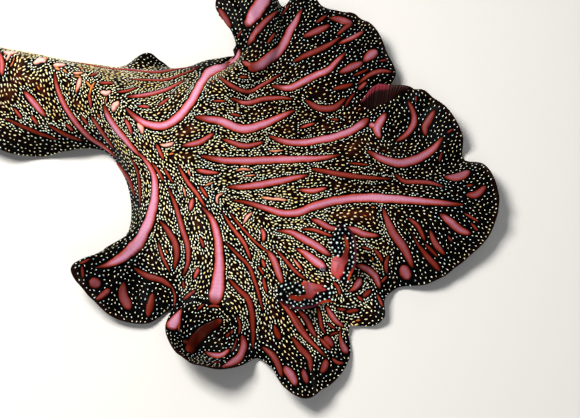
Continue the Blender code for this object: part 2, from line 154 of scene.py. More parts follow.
# The body: the same named rows as the solids, in the maker's own frame, whose middle is centre.
# back: x, y, height and thickness from tail to head. rims: each lobe with the place on the back
# that the hollow after it points to, and its rim as x, y, height and slope in degrees.
body = {
    "centre": np.array([-22.654, 3.678, 0.0]),
    "rimThickness": 0.6,
    "leastThickness": 0.55,
    "edgeShare": 0.35,       # thickness of the very edge, and how sharply it is rounded
    "edgePower": 40,
    "rimLever": 4.0,
    "leastCurlPower": 1.2,
    "foldFade": 2.1,
    "foldWindow": (-9.0, -4.5, 0.0, 4.5, 9.0),
    "planColumns": 240,
    "planRows": 12,
    "planRounds": 600,
    "back": (
        (-72.0, -2.2, 1.3, 1.2), (-65.0, -2.6, 2.4, 2.0), (-57.5, -3.8, 6.0, 2.4), (-50.7, -3.8, 10.2, 1.6),
        (-43.8, -1.6, 11.8, 1.5), (-37.2, -0.3, 11.9, 1.5), (-30.1, -0.5, 11.4, 1.6),
        (-24.8, -1.5, 10.6, 2.2), (-19.9, -2.6, 9.6, 2.8), (-13.5, -3.8, 8.2, 3.2), (-7.5, -4.8, 7.0, 3.2),
        (-1.1, -6.1, 5.8, 3.2), (4.9, -7.3, 4.8, 3.0), (10.0, -8.2, 3.8, 2.4), (13.2, -8.8, 2.6, 1.8),
        (16.6, -9.9, 0.9, 1.0),
    ),
    "tailEnd": {1: (-72.4, 0.8, 0.8, 0), -1: (-72.4, -5.2, 0.8, 0)},
    "rims": {
        1: (
            ("tail", 0.16, ((-70.0, 4.0, 0.8, 0), (-65.0, 7.2, 2.2, 15), (-60.5, 5.2, 1.4, 0),
                            (-57.0, 1.8, 0.5, -40))),
            ("hind", 0.28, ((-53.5, 2.4, 1.8, -45), (-50.0, 3.6, 1.4, -50), (-46.8, 4.6, 0.5, -55))),
            ("waist", 0.37, ((-42.5, 6.6, 1.8, -40), (-38.4, 8.4, 0.5, -55))),
            ("bridge", 0.455, ((-34.2, 12.0, 4.5, -10), (-30.2, 13.8, 0.5, -55))),
            ("notch", 0.53, ((-26.2, 17.2, 2.2, -30), (-22.6, 20.8, 3.0, -10))),
            ("shoulder", 0.62, ((-24.6, 22.3, 4.4, 25), (-28.9, 23.8, 7.0, 40), (-29.5, 28.2, 8.2, 40),
                                (-26.1, 31.4, 7.8, 30), (-22.5, 31.5, 5.4, 10), (-21.0, 31.7, 3.2, -10))),
            ("crown", 0.715, ((-20.4, 33.8, 4.8, 10), (-18.7, 35.4, 5.2, 10), (-15.0, 34.3, 4.6, 0),
                              (-10.5, 36.2, 3.8, -10), (-5.2, 35.4, 3.2, -15), (-2.4, 33.2, 2.6, -20),
                              (0.6, 30.9, 2.0, -20), (0.0, 25.8, 0.5, -40))),
            ("bowl", 0.80, ((1.4, 26.9, 2.8, 20), (5.4, 29.2, 4.2, 20), (10.7, 28.9, 3.8, 10),
                            (15.2, 26.4, 2.8, 0), (17.0, 23.9, 0.5, -20))),
            ("front", 0.915, ((20.1, 23.7, 2.4, 0), (25.1, 19.8, 3.2, 10), (27.1, 13.5, 2.8, 5),
                              (25.8, 7.3, 2.2, 0), (23.1, 1.7, 1.6, 0), (19.3, -1.0, 0.5, -10))),
            ("brow", 1.0, ((18.9, -4.0, 1.6, 10), (20.3, -6.3, 1.4, 10), (19.8, -7.8, 0.8, 0),
                           (18.0, -9.0, 0.5, 0))),
        ),
        -1: (
            ("tail", 0.15, ((-69.8, -8.6, 0.8, 0), (-64.0, -13.5, 2.2, 15), (-56.0, -13.0, 0.5, -25))),
            ("hind", 0.35, ((-49.5, -14.2, 3.0, -5), (-43.4, -13.7, 2.4, -30), (-39.1, -10.8, 0.5, -55))),
            ("bridge", 0.45, ((-34.5, -7.4, 2.0, -50), (-31.2, -5.0, 1.0, -60))),
            ("notch", 0.54, ((-25.9, -7.0, 1.2, -60), (-22.2, -10.4, 0.5, -45))),
            ("flank", 0.66, ((-19.4, -16.1, 2.0, -20), (-20.8, -20.9, 3.8, 10), (-22.3, -25.3, 4.6, 25),
                             (-18.1, -27.1, 3.6, 15), (-12.7, -27.4, 2.0, 5), (-8.8, -25.4, 1.4, -10),
                             (-7.3, -21.6, 0.5, -30))),
            ("cup", 0.79, ((-5.5, -25.5, 3.4, 50), (-0.5, -28.4, 5.2, 70), (4.2, -27.7, 5.4, 70),
                           (7.0, -24.2, 3.0, 40), (7.9, -21.4, 0.5, -20))),
            ("front", 1.0, ((10.4, -22.1, 2.2, 10), (14.0, -24.0, 3.4, 20), (17.3, -24.1, 3.4, 20),
                            (18.9, -20.8, 2.4, 10), (19.6, -16.3, 1.4, 0), (18.6, -13.0, 0.6, 0),
                            (17.2, -11.3, 0.5, 0))),
        ),
    },
    "relief": (
        (-3.0, -20.3, 2.2, 1.8), (1.6, -19.0, 2.0, 1.4), (1.2, -23.2, 2.4, -1.4), (9.2, 22.0, 3.8, -2.2),
        (-12.0, -22.6, 3.0, -1.0), (11.8, -17.2, 2.5, -0.8), (-6.1, 27.6, 3.0, 1.0),
    ),
    # fine ruffles of the rim: height, length of one wave along the rim, and of a slower swell
    "ruffle": 0.34,
    "ruffleLength": 4.6,
    "swellLength": 13.0,
    "swellTurn": 1.6,        # how far the swell shifts the ruffles, in radians, and how much it lowers them
    "swellShare": 0.35,
    "ruffleFade": 7.0,
    "ruffleRise": (0.3, 3.3),    # heights of the rim between which the ruffles grow
    "columns": 500,
    "rows": 94,
    "backWeight": 40.0,      # mm, the back's say in how the columns are spaced
    "rimCrowding": 0.45,     # 0 spaces the rows evenly, 1 crowds them at the rim
}


def slopes(knots, values, monotone):
    step = np.diff(knots)[:, None]
    rate = np.diff(values, axis=0) / step
    slope = np.empty_like(values)
    slope[0], slope[-1] = rate[0], rate[-1]
    before, after = rate[:-1], rate[1:]
    if monotone:
        weightA = 2 * step[1:] + step[:-1]
        weightB = step[1:] + 2 * step[:-1]
        sameWay = before * after > 0
        safeA = np.where(sameWay, before, 1.0)
        safeB = np.where(sameWay, after, 1.0)
        mean = (weightA + weightB) / (weightA / safeA + weightB / safeB)
        slope[1:-1] = np.where(sameWay, mean, 0.0)
    else:
        slope[1:-1] = (before * step[1:] + after * step[:-1]) / (step[:-1] + step[1:])
    return slope


def curve(knots, values, at, monotone=False):
    # smooth curve through the values given at the knots, read at other places
    values = np.asarray(values, float).reshape(len(knots), -1)
    slope = slopes(knots, values, monotone)
    at = np.clip(at, knots[0], knots[-1])
    cell = np.clip(np.searchsorted(knots, at, side="right") - 1, 0, len(knots) - 2)
    step = (knots[cell + 1] - knots[cell])[:, None]
    u = (at - knots[cell])[:, None] / step
    return ((1 + 2 * u) * (1 - u) ** 2 * values[cell] + u * (1 - u) ** 2 * step * slope[cell]
            + u * u * (3 - 2 * u) * values[cell + 1] + u * u * (u - 1) * step * slope[cell + 1])


def runLengths(points):
    return np.concatenate([[0.0], np.cumsum(np.linalg.norm(np.diff(points, axis=0), axis=1))])


def smoothStep(low, high, value):
    u = np.clip((value - low) / (high - low), 0.0, 1.0)
    return u * u * (3 - 2 * u)


back = np.array(body["back"])
backKnots = runLengths(back[:, :2])
backKnots = backKnots / backKnots[-1]


def readRim(side):
    rows, stations, hollows = [body["tailEnd"][side]], [0.0], [0]
    for _, station, lobe in body["rims"][side]:
        rows.extend(lobe)
        stations.append(station)
        hollows.append(len(rows) - 1)
    rows = np.array(rows, float)
    distance = runLengths(rows[:, :3])
    return {"rows": rows, "distance": distance, "stations": np.array(stations), "hollows": distance[hollows]}


rims = {side: readRim(side) for side in (1, -1)}


def rimDistance(side, s):
    return curve(rims[side]["stations"], rims[side]["hollows"], s, monotone=True)[:, 0]


def rimPoint(side, s):
    rim = rims[side]
    distance = rimDistance(side, s)
    point = curve(rim["distance"], rim["rows"][:, :3], distance)
    slope = curve(rim["distance"], rim["rows"][:, 3], distance, monotone=True)[:, 0]
    level = np.mean([curve(rim["distance"], rim["rows"][:, 2], distance + off)[:, 0]
                     for off in body["foldWindow"]], axis=0)
    return point, slope, level


def spreadPlan(side):
    # plan of one half as a grid, relaxed until its ribs fan out evenly, with one more line on each edge
    s = np.linspace(0.0, 1.0, body["planColumns"] + 1)
    t = np.linspace(0.0, 1.0, body["planRows"] + 1)[None, :, None]
    start = curve(backKnots, back[:, :3], s)[:, None, :2]
    end = rimPoint(side, s)[0][:, None, :2]
    grid = start * (1 - t) + end * t
    for _ in range(body["planRounds"]):
        ahead, behind = grid[2:, 1:-1], grid[:-2, 1:-1]
        outer, inner = grid[1:-1, 2:], grid[1:-1, :-2]
        along, across = (ahead - behind) / 2, (outer - inner) / 2
        a = np.sum(across * across, axis=2, keepdims=True)
        b = np.sum(along * across, axis=2, keepdims=True)
        c = np.sum(along * along, axis=2, keepdims=True)
        twist = (grid[2:, 2:] - grid[2:, :-2] - grid[:-2, 2:] + grid[:-2, :-2]) / 4
        grid[1:-1, 1:-1] = (a * (ahead + behind) + c * (outer + inner) - 2 * b * twist) / (2 * (a + c))
    grid = np.concatenate([2 * grid[:1] - grid[1:2], grid, 2 * grid[-1:] - grid[-2:-1]])
    return np.concatenate([2 * grid[:, :1] - grid[:, 1:2], grid, 2 * grid[:, -1:] - grid[:, -2:-1]], axis=1)


plans = {side: spreadPlan(side) for side in (1, -1)}


def gridWeights(place, cells):
    place = np.clip(place, 0.0, 1.0) * cells
    cell = np.clip(np.floor(place).astype(int), 0, cells - 1)
    u = place - cell
    weights = (-0.5 * u + u * u - 0.5 * u ** 3, 1 - 2.5 * u * u + 1.5 * u ** 3,
               0.5 * u + 2 * u * u - 1.5 * u ** 3, -0.5 * u * u + 0.5 * u ** 3)
    return [(cell + step, weight) for step, weight in zip((-1, 0, 1, 2), weights)]


def rib(side, s, t):
    # upper surface, t of the way from the back to the rim of one side
    start = curve(backKnots, back[:, :3], s)
    end, slope, level = rimPoint(side, s)
    reach = np.linalg.norm(end - start, axis=1)
    ease = t * t * (3 - 2 * t)
    power = np.maximum(reach / body["rimLever"] - 1, body["leastCurlPower"])
    curl = (1 - t) * t ** power * reach * np.tan(np.radians(slope))
    height = (start[:, 2] + ease * (level - start[:, 2]) + t ** body["foldFade"] * (end[:, 2] - level) - curl)
    plan = 0.0
    for column, weightS in gridWeights(s, body["planColumns"]):
        for row, weightT in gridWeights(t, body["planRows"]):
            plan = plan + plans[side][column + 1, row + 1] * (weightS * weightT)[:, None]
    distance = rimDistance(side, s)
    turn = 2 * math.pi / body["ruffleLength"]
    swell = np.sin(2 * math.pi * distance / body["swellLength"] + side)
    wave = np.sin(turn * distance + body["swellTurn"] * swell)
    wave = wave * (1 - body["swellShare"] + body["swellShare"] * swell) * t ** body["ruffleFade"]
    height = height + body["ruffle"] * wave * smoothStep(*body["ruffleRise"], end[:, 2])
    return np.column_stack([plan, height])


def upper(s, t):
    # s runs from tail to head, t from the right rim (-1) to the left one (1)
    s, t = np.clip(s, 0.0, 1.0), np.clip(t, -1.0, 1.0)
    point = np.where((t >= 0)[:, None], rib(1, s, np.abs(t)), rib(-1, s, np.abs(t)))
    for x, y, radius, height in body["relief"]:
        off = (point[:, 0] - x) ** 2 + (point[:, 1] - y) ** 2
        point[:, 2] += height * np.exp(-off / (2 * radius * radius))
    return point


def upperNormals(s, t):
    ds, dt = 0.002, 0.02
    s = np.clip(s, 0.0, 1.0)
    sBack, sFront = np.clip(s - ds, 0, 1), np.clip(s + ds, 0, 1)
    tLow, tHigh = np.clip(t - dt, -1, 1), np.clip(t + dt, -1, 1)
    along = (upper(sFront, t) - upper(sBack, t)) / (sFront - sBack)[:, None]
    across = (upper(s, tHigh) - upper(s, tLow)) / (tHigh - tLow)[:, None]
    return oneLong(np.cross(along, across))


def flesh(s, t, below):
    # points of the upper surface, or of the lower one where below is 1, in the row frame
    full = curve(backKnots, back[:, 3], s)[:, 0]
    thick = body["rimThickness"] + (full - body["rimThickness"]) * (1 - t * t) ** 3
    inner = np.clip(1 - np.abs(t) ** body["edgePower"], 0, 1)
    thick = thick * (body["edgeShare"] + (1 - body["edgeShare"]) * np.sqrt(inner))
    top = upper(s, t)
    bottom = top - upperNormals(s, t) * thick[:, None]
    bottom[:, 2] = np.maximum(bottom[:, 2], 0.0)
    top[:, 2] = np.maximum(top[:, 2], bottom[:, 2] + 0.4 * body["leastThickness"])
    top[:, 2] = np.maximum(top[:, 2], body["leastThickness"] * (0.6 + 0.4 * inner))
    return np.where((below > 0.5)[:, None], bottom, top) - body["centre"]


def evenColumns():
    # places on the back whose steps are about as long on both rims
    fine = np.linspace(0.0, 1.0, 4000)
    lengths = rimDistance(1, fine) + rimDistance(-1, fine) + body["backWeight"] * fine
    return np.interp(np.linspace(0, lengths[-1], body["columns"] + 1), lengths, fine)


def evenRows():
    x = np.linspace(-1.0, 1.0, body["rows"] + 1)
    return (1 - body["rimCrowding"]) * x + body["rimCrowding"] * np.sin(x * math.pi / 2)


columnPlaces, rowPlaces = evenColumns(), evenRows()


def unitSlab(name, columns, rows):
    # closed slab of one cell's thickness, 0 to 1 along and across, whose lower side is at z = -1
    bpy.ops.object.select_all(action="DESELECT")
    bpy.ops.mesh.primitive_grid_add(
        x_subdivisions=columns, y_subdivisions=rows, size=1.0, location=(0.5, 0.5, 0))
    slab = bpy.context.object
    slab.name = name
    bpy.ops.object.transform_apply(location=True, rotation=False, scale=False)
    bpy.ops.object.mode_set(mode="EDIT")
    bpy.ops.mesh.select_all(action="SELECT")
    bpy.ops.mesh.extrude_region_move(TRANSFORM_OT_translate={"value": (0.0, 0.0, -1.0)})
    bpy.ops.mesh.select_all(action="SELECT")
    bpy.ops.mesh.normals_make_consistent(inside=False)
    bpy.ops.object.mode_set(mode="OBJECT")
    bpy.ops.object.select_all(action="DESELECT")
    return slab


def gridPlace(unit, columns, rows):
    # column and row of each corner of a unit slab
    return np.rint(unit[:, 0] * columns).astype(int), np.rint(unit[:, 1] * rows).astype(int)


def finishShell(piece):
    # faces outwards, shaded smooth
    bpy.context.view_layer.objects.active = piece
    piece.select_set(True)
    bpy.ops.object.mode_set(mode="EDIT")
    bpy.ops.mesh.select_all(action="SELECT")
    bpy.ops.mesh.normals_make_consistent(inside=False)
    bpy.ops.object.mode_set(mode="OBJECT")
    bpy.ops.object.shade_smooth()
    bpy.ops.object.select_all(action="DESELECT")


def pointsOf(piece):
    points = np.empty(len(piece.data.vertices) * 3)
    piece.data.vertices.foreach_get("co", points)
    return points.reshape(-1, 3)


def setPoints(piece, points):
    piece.data.vertices.foreach_set("co", (points * mm).ravel())
    piece.data.update()


def setValues(piece, name, values):
    layer = piece.data.attributes.new(name, "FLOAT", "POINT")
    layer.data.foreach_set("value", np.ascontiguousarray(values, dtype=np.float32))


def setColours(piece, name, colours):
    layer = piece.data.attributes.new(name, "FLOAT_COLOR", "POINT")
    four = np.column_stack([colours, np.ones(len(colours))])
    layer.data.foreach_set("color", np.ascontiguousarray(four, dtype=np.float32).ravel())


def setBakePlaces(piece, places):
    # one place on the skin's unwrap for each vertex
    layer = piece.data.uv_layers.new(name="OFBake")
    corners = np.empty(len(piece.data.loops), dtype=np.int32)
    piece.data.loops.foreach_get("vertex_index", corners)
    layer.data.foreach_set("uv", np.ascontiguousarray(places[corners], dtype=np.float32).ravel())


# Plan square that the unwrap covers: the upper skin in its lower half, the underside in the upper half
unwrap = {"origin": np.array([-51.0, -34.5]), "size": 102.0, "squash": 0.75, "underside": 0.5}


def planPlace(points, below=0.0):
    flat = (points[:, :2] - unwrap["origin"]) / unwrap["size"]
    return np.column_stack([flat[:, 0], flat[:, 1] * unwrap["squash"] + below * unwrap["underside"]])


def makeSkin():
    skin = unitSlab("flatwormSkin", body["columns"], body["rows"])
    unit = pointsOf(skin)
    column, row = gridPlace(unit, body["columns"], body["rows"])
    below = (unit[:, 2] < -0.5).astype(float)
    points = flesh(columnPlaces[column], rowPlaces[row], below)
    setPoints(skin, points)
    finishShell(skin)
    return skin, column, row, below, points


skin, skinColumn, skinRow, skinBelow, skinPoints = makeSkin()
print("skin shaped:", len(skin.data.polygons), "faces")

# The upper sheet as a grid, with smooth normals and a tree for finding places on it
sheetTop = np.zeros((body["columns"] + 1, body["rows"] + 1, 3))
sheetTop[skinColumn[skinBelow < 0.5], skinRow[skinBelow < 0.5]] = skinPoints[skinBelow < 0.5]
sheetNormals = oneLong(np.cross(np.gradient(sheetTop, axis=0), np.gradient(sheetTop, axis=1)))
sheetWide = body["rows"] + 1


def sheetTree():
    i, j = np.meshgrid(np.arange(body["columns"]), np.arange(body["rows"]), indexing="ij")
    first = (i * sheetWide + j).ravel()
    faces = np.column_stack([first, first + sheetWide, first + sheetWide + 1, first + 1])
    return BVHTree.FromPolygons(sheetTop.reshape(-1, 3).tolist(), faces.tolist()), faces


skinTree, sheetFaces = sheetTree()
flatTop, flatNormals = sheetTop.reshape(-1, 3), sheetNormals.reshape(-1, 3)


def normalAt(face, point):
    corners = sheetFaces[face]
    weight = 1.0 / (np.linalg.norm(flatTop[corners] - point, axis=1) + 0.02)
    return oneLong((flatNormals[corners] * weight[:, None]).sum(axis=0))


def onSkin(point):
    # nearest place of the upper skin, with its smooth normal
    place, _, face, _ = skinTree.find_nearest(Vector(point))
    place = np.array(place)
    return place, normalAt(face, place)


def farOut(point):
    # 0 on the back, 1 at the rim
    row = skinTree.find_nearest(Vector(point))[2] % body["rows"]
    return abs(rowPlaces[row] + rowPlaces[row + 1]) / 2


def seenThrough(pixel):
    # place of the upper skin behind a pixel of the photograph, or None
    place = skinTree.ray_cast(Vector(eye), Vector(pixelRay(pixel)))[0]
    return None if place is None else np.array(place)


print("skin ready to be marked")

# Stripes as the photograph shows them: width in pixels, place along it where it is widest, glow from
# deep red (0) to pink (1), then its middle line in pixels of the photograph. A low glow is partly the
# stripe's own deep red and partly painted shade, and a glow below 0 paints deep shade. A third number
# there makes the stripe that much wider at that place
stripes = {
    "lift": 0.15,            # height of the crown over the skin, in mm
    "sink": 0.03,            # how deep the edge lies under the skin
    "depth": 0.16,
    "columnStep": 0.33,
    "acrossCells": 8,
    "leastHalf": 0.05,
    "body": 0.42,            # 1 gives a leaf shape, lower a fuller one
    "mostSpread": 1.7,       # how much wider than in the photograph a stripe may be on a slope
    "routeStep": 1.5,        # pixels
    "jump": 2.2,             # a longer step in space breaks the stripe at a fold
    "shortest": 0.3,
    "fullLiftHalf": 0.4,     # half width from which a stripe stands at its full height
    "glowFade": (0.18, 0.88),
    # stripes grow darker over this share of the way out to the rim: partly deeper red pigment, partly painted
    # shade
    "rimPigmentAndShadeZone": (0.4, 1.0),
    "waver": 0.05,
    "foldTurn": 11.0,        # cross folds, in radians for each mm along the stripe
    # colour at distances in mm from the edge, of a glowing stripe and of a dull one. The palest stop,
    # in the middle of a glowing stripe, is a painted highlight along its crown
    "bright": ((0.0, (0.10, 0.005, 0.001)), (0.08, (0.34, 0.024, 0.005)), (0.22, (0.47, 0.055, 0.020)),
               (0.42, (0.54, 0.120, 0.125)), (0.70, (0.62, 0.225, 0.360)), (0.98, (0.70, 0.320, 0.470))),
    "dull": ((0.0, (0.020, 0.001, 0.001)), (0.10, (0.095, 0.006, 0.001)), (0.35, (0.18, 0.015, 0.004)),
             (0.85, (0.20, 0.021, 0.008))),
    "routes": {
        "bridge": (
            (9.5, 0.5, 0.95, (126, 108), (134, 116), (145, 123), (161, 126), (172, 122), (182, 113),
             (192, 100), (202, 82, 1.15), (211, 71, 1.5), (222, 66, 1.9), (232, 63, 2.6)),
            (7.6, 0.4, 0.9, (227, 66), (236, 60), (240, 49)),
            (5.6, 0.45, 0.9, (54, 72), (58, 90), (65, 106), (74, 120), (89, 137), (104, 147), (118, 158)),
            (7, 0.5, 0.85, (24, 91), (34, 103), (46, 117)),
            (5.5, 0.6, 0.8, (0, 52), (2, 62), (2, 76)),
            (3.6, 0.5, 0.6, (63, 61), (85, 64), (105, 68), (130, 70), (158, 72), (178, 69), (200, 66)),
            (2.8, 0.5, 0.6, (126, 79), (148, 80), (165, 80), (180, 75), (200, 67)),
            (4.6, 0.4, 0.8, (127, 97), (146, 95), (165, 90), (185, 80)),
            (2.8, 0.5, 0.7, (117, 92), (127, 91), (137, 87)),
            (3.4, 0.5, 0.8, (138, 106), (150, 107)),
            (3, 0.5, 0.8, (158, 106), (169, 98)),
            (3, 0.5, 0.5, (90, 76), (98, 73)),
            (3.4, 0.4, 0.5, (99, 83), (114, 83)),
            (4, 0.5, 0.7, (77, 93), (78, 86), (81, 79)),
            (3.4, 0.5, 0.7, (88, 93), (90, 100), (91, 108)),
            (3, 0.5, 0.8, (81, 116), (88, 125)),
            (3.4, 0.5, 0.8, (66, 124), (73, 131)),
            (3.4, 0.5, 0.8, (14, 108), (22, 119)),
            (3.4, 0.5, 0.8, (31, 115), (38, 125)),
            (4, 0.4, 0.7, (91, 116), (104, 135), (114, 149)),
            (4.2, 0.4, 0.8, (125, 119), (129, 126), (132, 135)),
            (3.6, 0.4, 0.7, (156, 144), (164, 160)),
            (4, 0.5, 0.1, (4, 118), (33, 131), (58, 140)),
            (4, 0.5, 0.2, (48, 125), (66, 135), (82, 141)),
            (4, 0.6, 0.35, (104, 151), (120, 167), (129, 180), (135, 196)),
            (3, 0.5, 0.25, (130, 157), (137, 170), (140, 190), (140, 206)),
        ),
        "middle": (
            (4.8, 0.4, 0.35, (218, 76), (232, 86), (248, 92), (264, 84), (281, 74)),
            (5.6, 0.5, 0.45, (230, 98), (245, 103), (264, 99), (282, 98), (293, 99)),
            (9.5, 0.45, 0.75, (195, 117), (207, 119), (220, 121), (242, 129), (264, 124), (282, 116),
             (295, 110)),
            (6.2, 0.5, 0.65, (182, 146), (200, 142), (214, 133)),
            (5.6, 0.5, 0.5, (222, 139), (246, 146), (264, 142)),
            (8.2, 0.45, 0.65, (201, 156), (220, 160), (240, 161), (270, 160), (300, 159), (322, 158),
             (340, 155)),
            (4.6, 0.4, 0.8, (196, 170), (206, 172), (219, 173)),
            (7.5, 0.5, 0.65, (227, 187), (242, 187), (258, 185), (280, 181), (308, 175)),
            (9.3, 0.55, 0.8, (232, 200), (248, 203), (265, 208), (282, 213), (296, 213), (312, 207),
             (330, 202), (350, 199), (375, 198), (398, 199), (420, 201), (442, 203), (464, 205)),
            (2.6, 0.5, 0.7, (213, 101), (226, 101)),
            (3, 0.5, 0.4, (239, 77), (248, 77)),
            (2.8, 0.5, 0.3, (230, 114), (241, 116)),
            (5.5, 0.35, 0.2, (312, 169), (333, 173), (360, 177), (392, 179)),
            (5.2, 0.5, 0.85, (299, 190), (311, 191), (327, 188)),
            (7.6, 0.45, 0.7, (269, 136), (282, 141), (300, 143), (320, 140), (340, 135, 1.15),
             (356, 128, 1.5), (368, 118, 2.8)),
            (3.6, 0.5, 0.7, (300, 128), (315, 123)),
            (2.6, 0.5, 0.3, (331, 119), (339, 120)),
            (2.8, 0.5, 0.2, (349, 163), (369, 165)),
            (3, 0.5, 0.5, (152, 163), (158, 171), (164, 182)),
            (2.8, 0.5, 0.6, (164, 168), (173, 183)),
            (4.2, 0.5, 0.7, (178, 165), (187, 181), (197, 194), (206, 208)),
            (3.2, 0.5, 0.8, (200, 186), (208, 198)),
            (5, 0.5, 0.85, (193, 198), (190, 211)),
        ),
        "crown": (
            (16, 0.45, 0.9, (270, -6), (259, 7), (246, 27)),
            (7.5, 0.5, 0.35, (219, 8), (225, 19), (231, 28)),
            (7.2, 0.4, 0.5, (248, 45), (256, 32), (266, 21), (278, 11)),
            (2.2, 0.5, 0.4, (281, 16), (289, 5)),
            (3.6, 0.5, 0.5, (267, 44), (275, 33)),
            (2.4, 0.5, 0.3, (237, 38), (242, 30)),
            (11.5, 0.3, 0.7, (248, 66, 1.5), (253, 67, 1.2), (259, 66), (268, 59), (279, 51), (286, 40),
             (293, 26), (302, 9)),
            (6, 0.6, 0.5, (242, 61), (247, 64), (253, 67)),
            (6.5, 0.45, 0.25, (293, 62), (309, 54), (325, 47), (341, 37)),
            (7.6, 0.5, 0.4, (303, 37), (315, 32), (330, 25)),
            (4.2, 0.5, 0.2, (316, 23), (327, 15)),
            (8.5, 0.6, 0.4, (329, 18), (341, 20), (353, 24)),
            (6, 0.3, 0.3, (352, 23), (344, 29), (337, 35)),
            (5.4, 0.5, 0.65, (338, 44), (352, 38), (364, 31)),
            (8.2, 0.45, 0.85, (272, 86), (289, 88), (301, 83), (314, 76), (328, 70), (338, 60), (346, 52)),
            (8.4, 0.55, 0.5, (339, 73), (350, 68), (363, 62)),
            (10.5, 0.6, 0.7, (363, 62), (371, 55), (377, 50)),
            (3.2, 0.5, 0.2, (353, 76), (369, 69)),
            (5.4, 0.5, 0.15, (333, 89), (343, 87), (353, 84)),
            (5.4, 0.55, 0.55, (358, 84), (368, 76), (381, 71), (392, 72)),
            (5, 0.5, 0.8, (358, 90), (367, 82)),
            (3.6, 0.5, 0.15, (345, 107), (349, 100), (355, 93)),
            (7.4, 0.5, 0.25, (305, 100), (319, 108), (333, 108), (346, 98)),
            (2.6, 0.5, 0.3, (379, 61), (387, 60)),
        ),
        "bowl": (
            (9.5, 0.5, 0.85, (386, 113), (381, 121), (377, 127), (380, 139)),
            (6.5, 0.5, 0.85, (369, 124), (376, 127)),
            (6.8, 0.5, 0.6, (408, 101), (413, 111), (414, 123), (408, 133), (396, 142)),
            (7.8, 0.5, 0.35, (435, 110), (429, 120), (425, 127), (426, 136)),
            (2.4, 0.5, 0.5, (416, 96), (416, 102)),
            (3, 0.5, 0.3, (439, 162), (442, 152)),
            (2.6, 0.5, 0.4, (447, 133), (453, 129)),
            (9.6, 0.5, 0.65, (367, 151), (385, 160), (402, 163), (419, 158), (433, 149), (443, 137)),
        ),
        "front": (
            (4.8, 0.4, 0.35, (395, 174), (403, 181), (417, 182), (431, 183), (444, 187)),
            (8.6, 0.6, 0.45, (444, 177), (456, 177), (470, 171)),
            (7.6, 0.5, 0.4, (466, 195), (475, 195), (486, 186)),
            (9, 0.55, 0.35, (383, 208), (388, 222), (395, 236), (404, 248), (410, 261), (413, 268)),
            (4.8, 0.5, 0.35, (408, 218), (417, 225), (422, 234), (425, 241)),
            (6.4, 0.75, 0.15, (412, 233), (419, 246), (427, 256), (434, 264), (440, 271)),
            (6.4, 0.55, 0.35, (430, 230), (435, 243), (445, 255)),
            (3.6, 0.5, 0.1, (425, 244), (431, 250), (438, 257)),
            (8.8, 0.5, 0.65, (440, 214), (451, 222), (460, 230), (471, 234)),
            (2.8, 0.5, 0.5, (464, 213), (479, 222)),
            (3.2, 0.5, 0.5, (471, 223), (478, 231)),
            (11.5, 0.5, 0.45, (402, 265), (409, 280)),
            (2.4, 0.5, 0.4, (466, 186), (473, 185)),
            (3, 0.5, 0.3, (448, 236), (452, 242)),
        ),
        "head": (
            (7.8, 0.6, 0.75, (277, 231), (290, 232), (302, 238), (315, 245), (331, 256)),
            (9, 0.68, 0.85, (295, 248), (306, 254), (315, 261), (326, 269)),
            (3.6, 0.5, 0.6, (302, 229), (314, 230), (323, 233), (334, 237)),
            (6, 0.5, 0.6, (311, 219), (321, 223), (330, 228), (340, 229)),
            (6.6, 0.5, 0.6, (342, 228), (354, 230), (364, 234), (379, 236)),
            (7, 0.5, 0.7, (267, 250), (274, 260), (278, 272), (283, 285)),
            (3.6, 0.6, 0.5, (275, 248), (287, 262), (296, 272), (306, 280)),
            (2.8, 0.5, 0.8, (294, 259), (303, 271)),
            (4.4, 0.5, 0.9, (261, 228), (264, 234), (263, 242)),
            (3.4, 0.5, 0.8, (262, 259), (265, 268)),
            (3, 0.5, 0.5, (263, 277), (267, 293)),
            (7, 0.5, 0.8, (356, 265), (367, 269), (375, 276), (380, 289)),
            (7.6, 0.7, 0.6, (348, 292), (355, 288), (361, 278)),
            (2.6, 0.5, 0.3, (362, 247), (371, 250)),
            (3.8, 0.5, 0.35, (374, 249), (379, 255), (383, 262)),
            (4.2, 0.5, 0.35, (389, 255), (386, 263), (387, 274)),
            (3, 0.5, 0.6, (381, 283), (387, 276)),
            (5.2, 0.5, 0.2, (363, 297), (371, 290)),
            (3.2, 0.5, 0.6, (377, 294), (383, 307)),
            (3, 0.5, 0.5, (357, 296), (363, 301)),
            (4.4, 0.5, 0.1, (346, 312), (359, 310)),
            (3.4, 0.5, 0.1, (337, 309), (346, 310)),
            (3.8, 0.5, 0.5, (333, 282), (338, 287), (340, 296)),
            (4.8, 0.5, 0.55, (277, 289), (281, 301), (291, 315), (300, 330), (309, 340), (317, 348),
             (326, 357)),
            (4.2, 0.5, 0.3, (291, 310), (299, 323), (306, 335), (316, 347)),
            (5.6, 0.45, 0.4, (299, 311), (307, 320), (311, 329), (317, 338)),
            (3.8, 0.4, 0.35, (318, 307), (320, 318), (322, 328), (326, 334)),
            (5.4, 0.5, 0.7, (326, 306), (332, 316), (338, 323), (344, 327)),
            (6.6, 0.8, 0.6, (342, 327), (340, 334), (342, 343), (347, 354)),
            (2.6, 0.5, 0.3, (327, 323), (335, 329)),
            (2.6, 0.5, 0.3, (330, 335), (339, 332)),
            (7.2, 0.4, 0.25, (324, 337), (329, 341), (333, 347)),
            (4.2, 0.5, 0.4, (320, 338), (325, 344), (331, 350)),
            (3.6, 0.5, 0.4, (332, 358), (338, 363), (344, 363)),
            (6.2, 0.5, 0.15, (292, 337), (301, 349), (309, 358), (311, 372)),
            (6.6, 0.5, 0.25, (262, 347), (274, 357), (278, 365), (282, 377)),
            (6, 0.6, 0.0, (274, 325), (280, 340)),
            (8.8, 0.5, 0.65, (284, 366), (291, 375), (296, 386)),
            (6, 0.5, 0.45, (303, 369), (305, 376), (307, 384)),
            (7.4, 0.5, 0.3, (326, 359), (325, 367), (321, 373)),
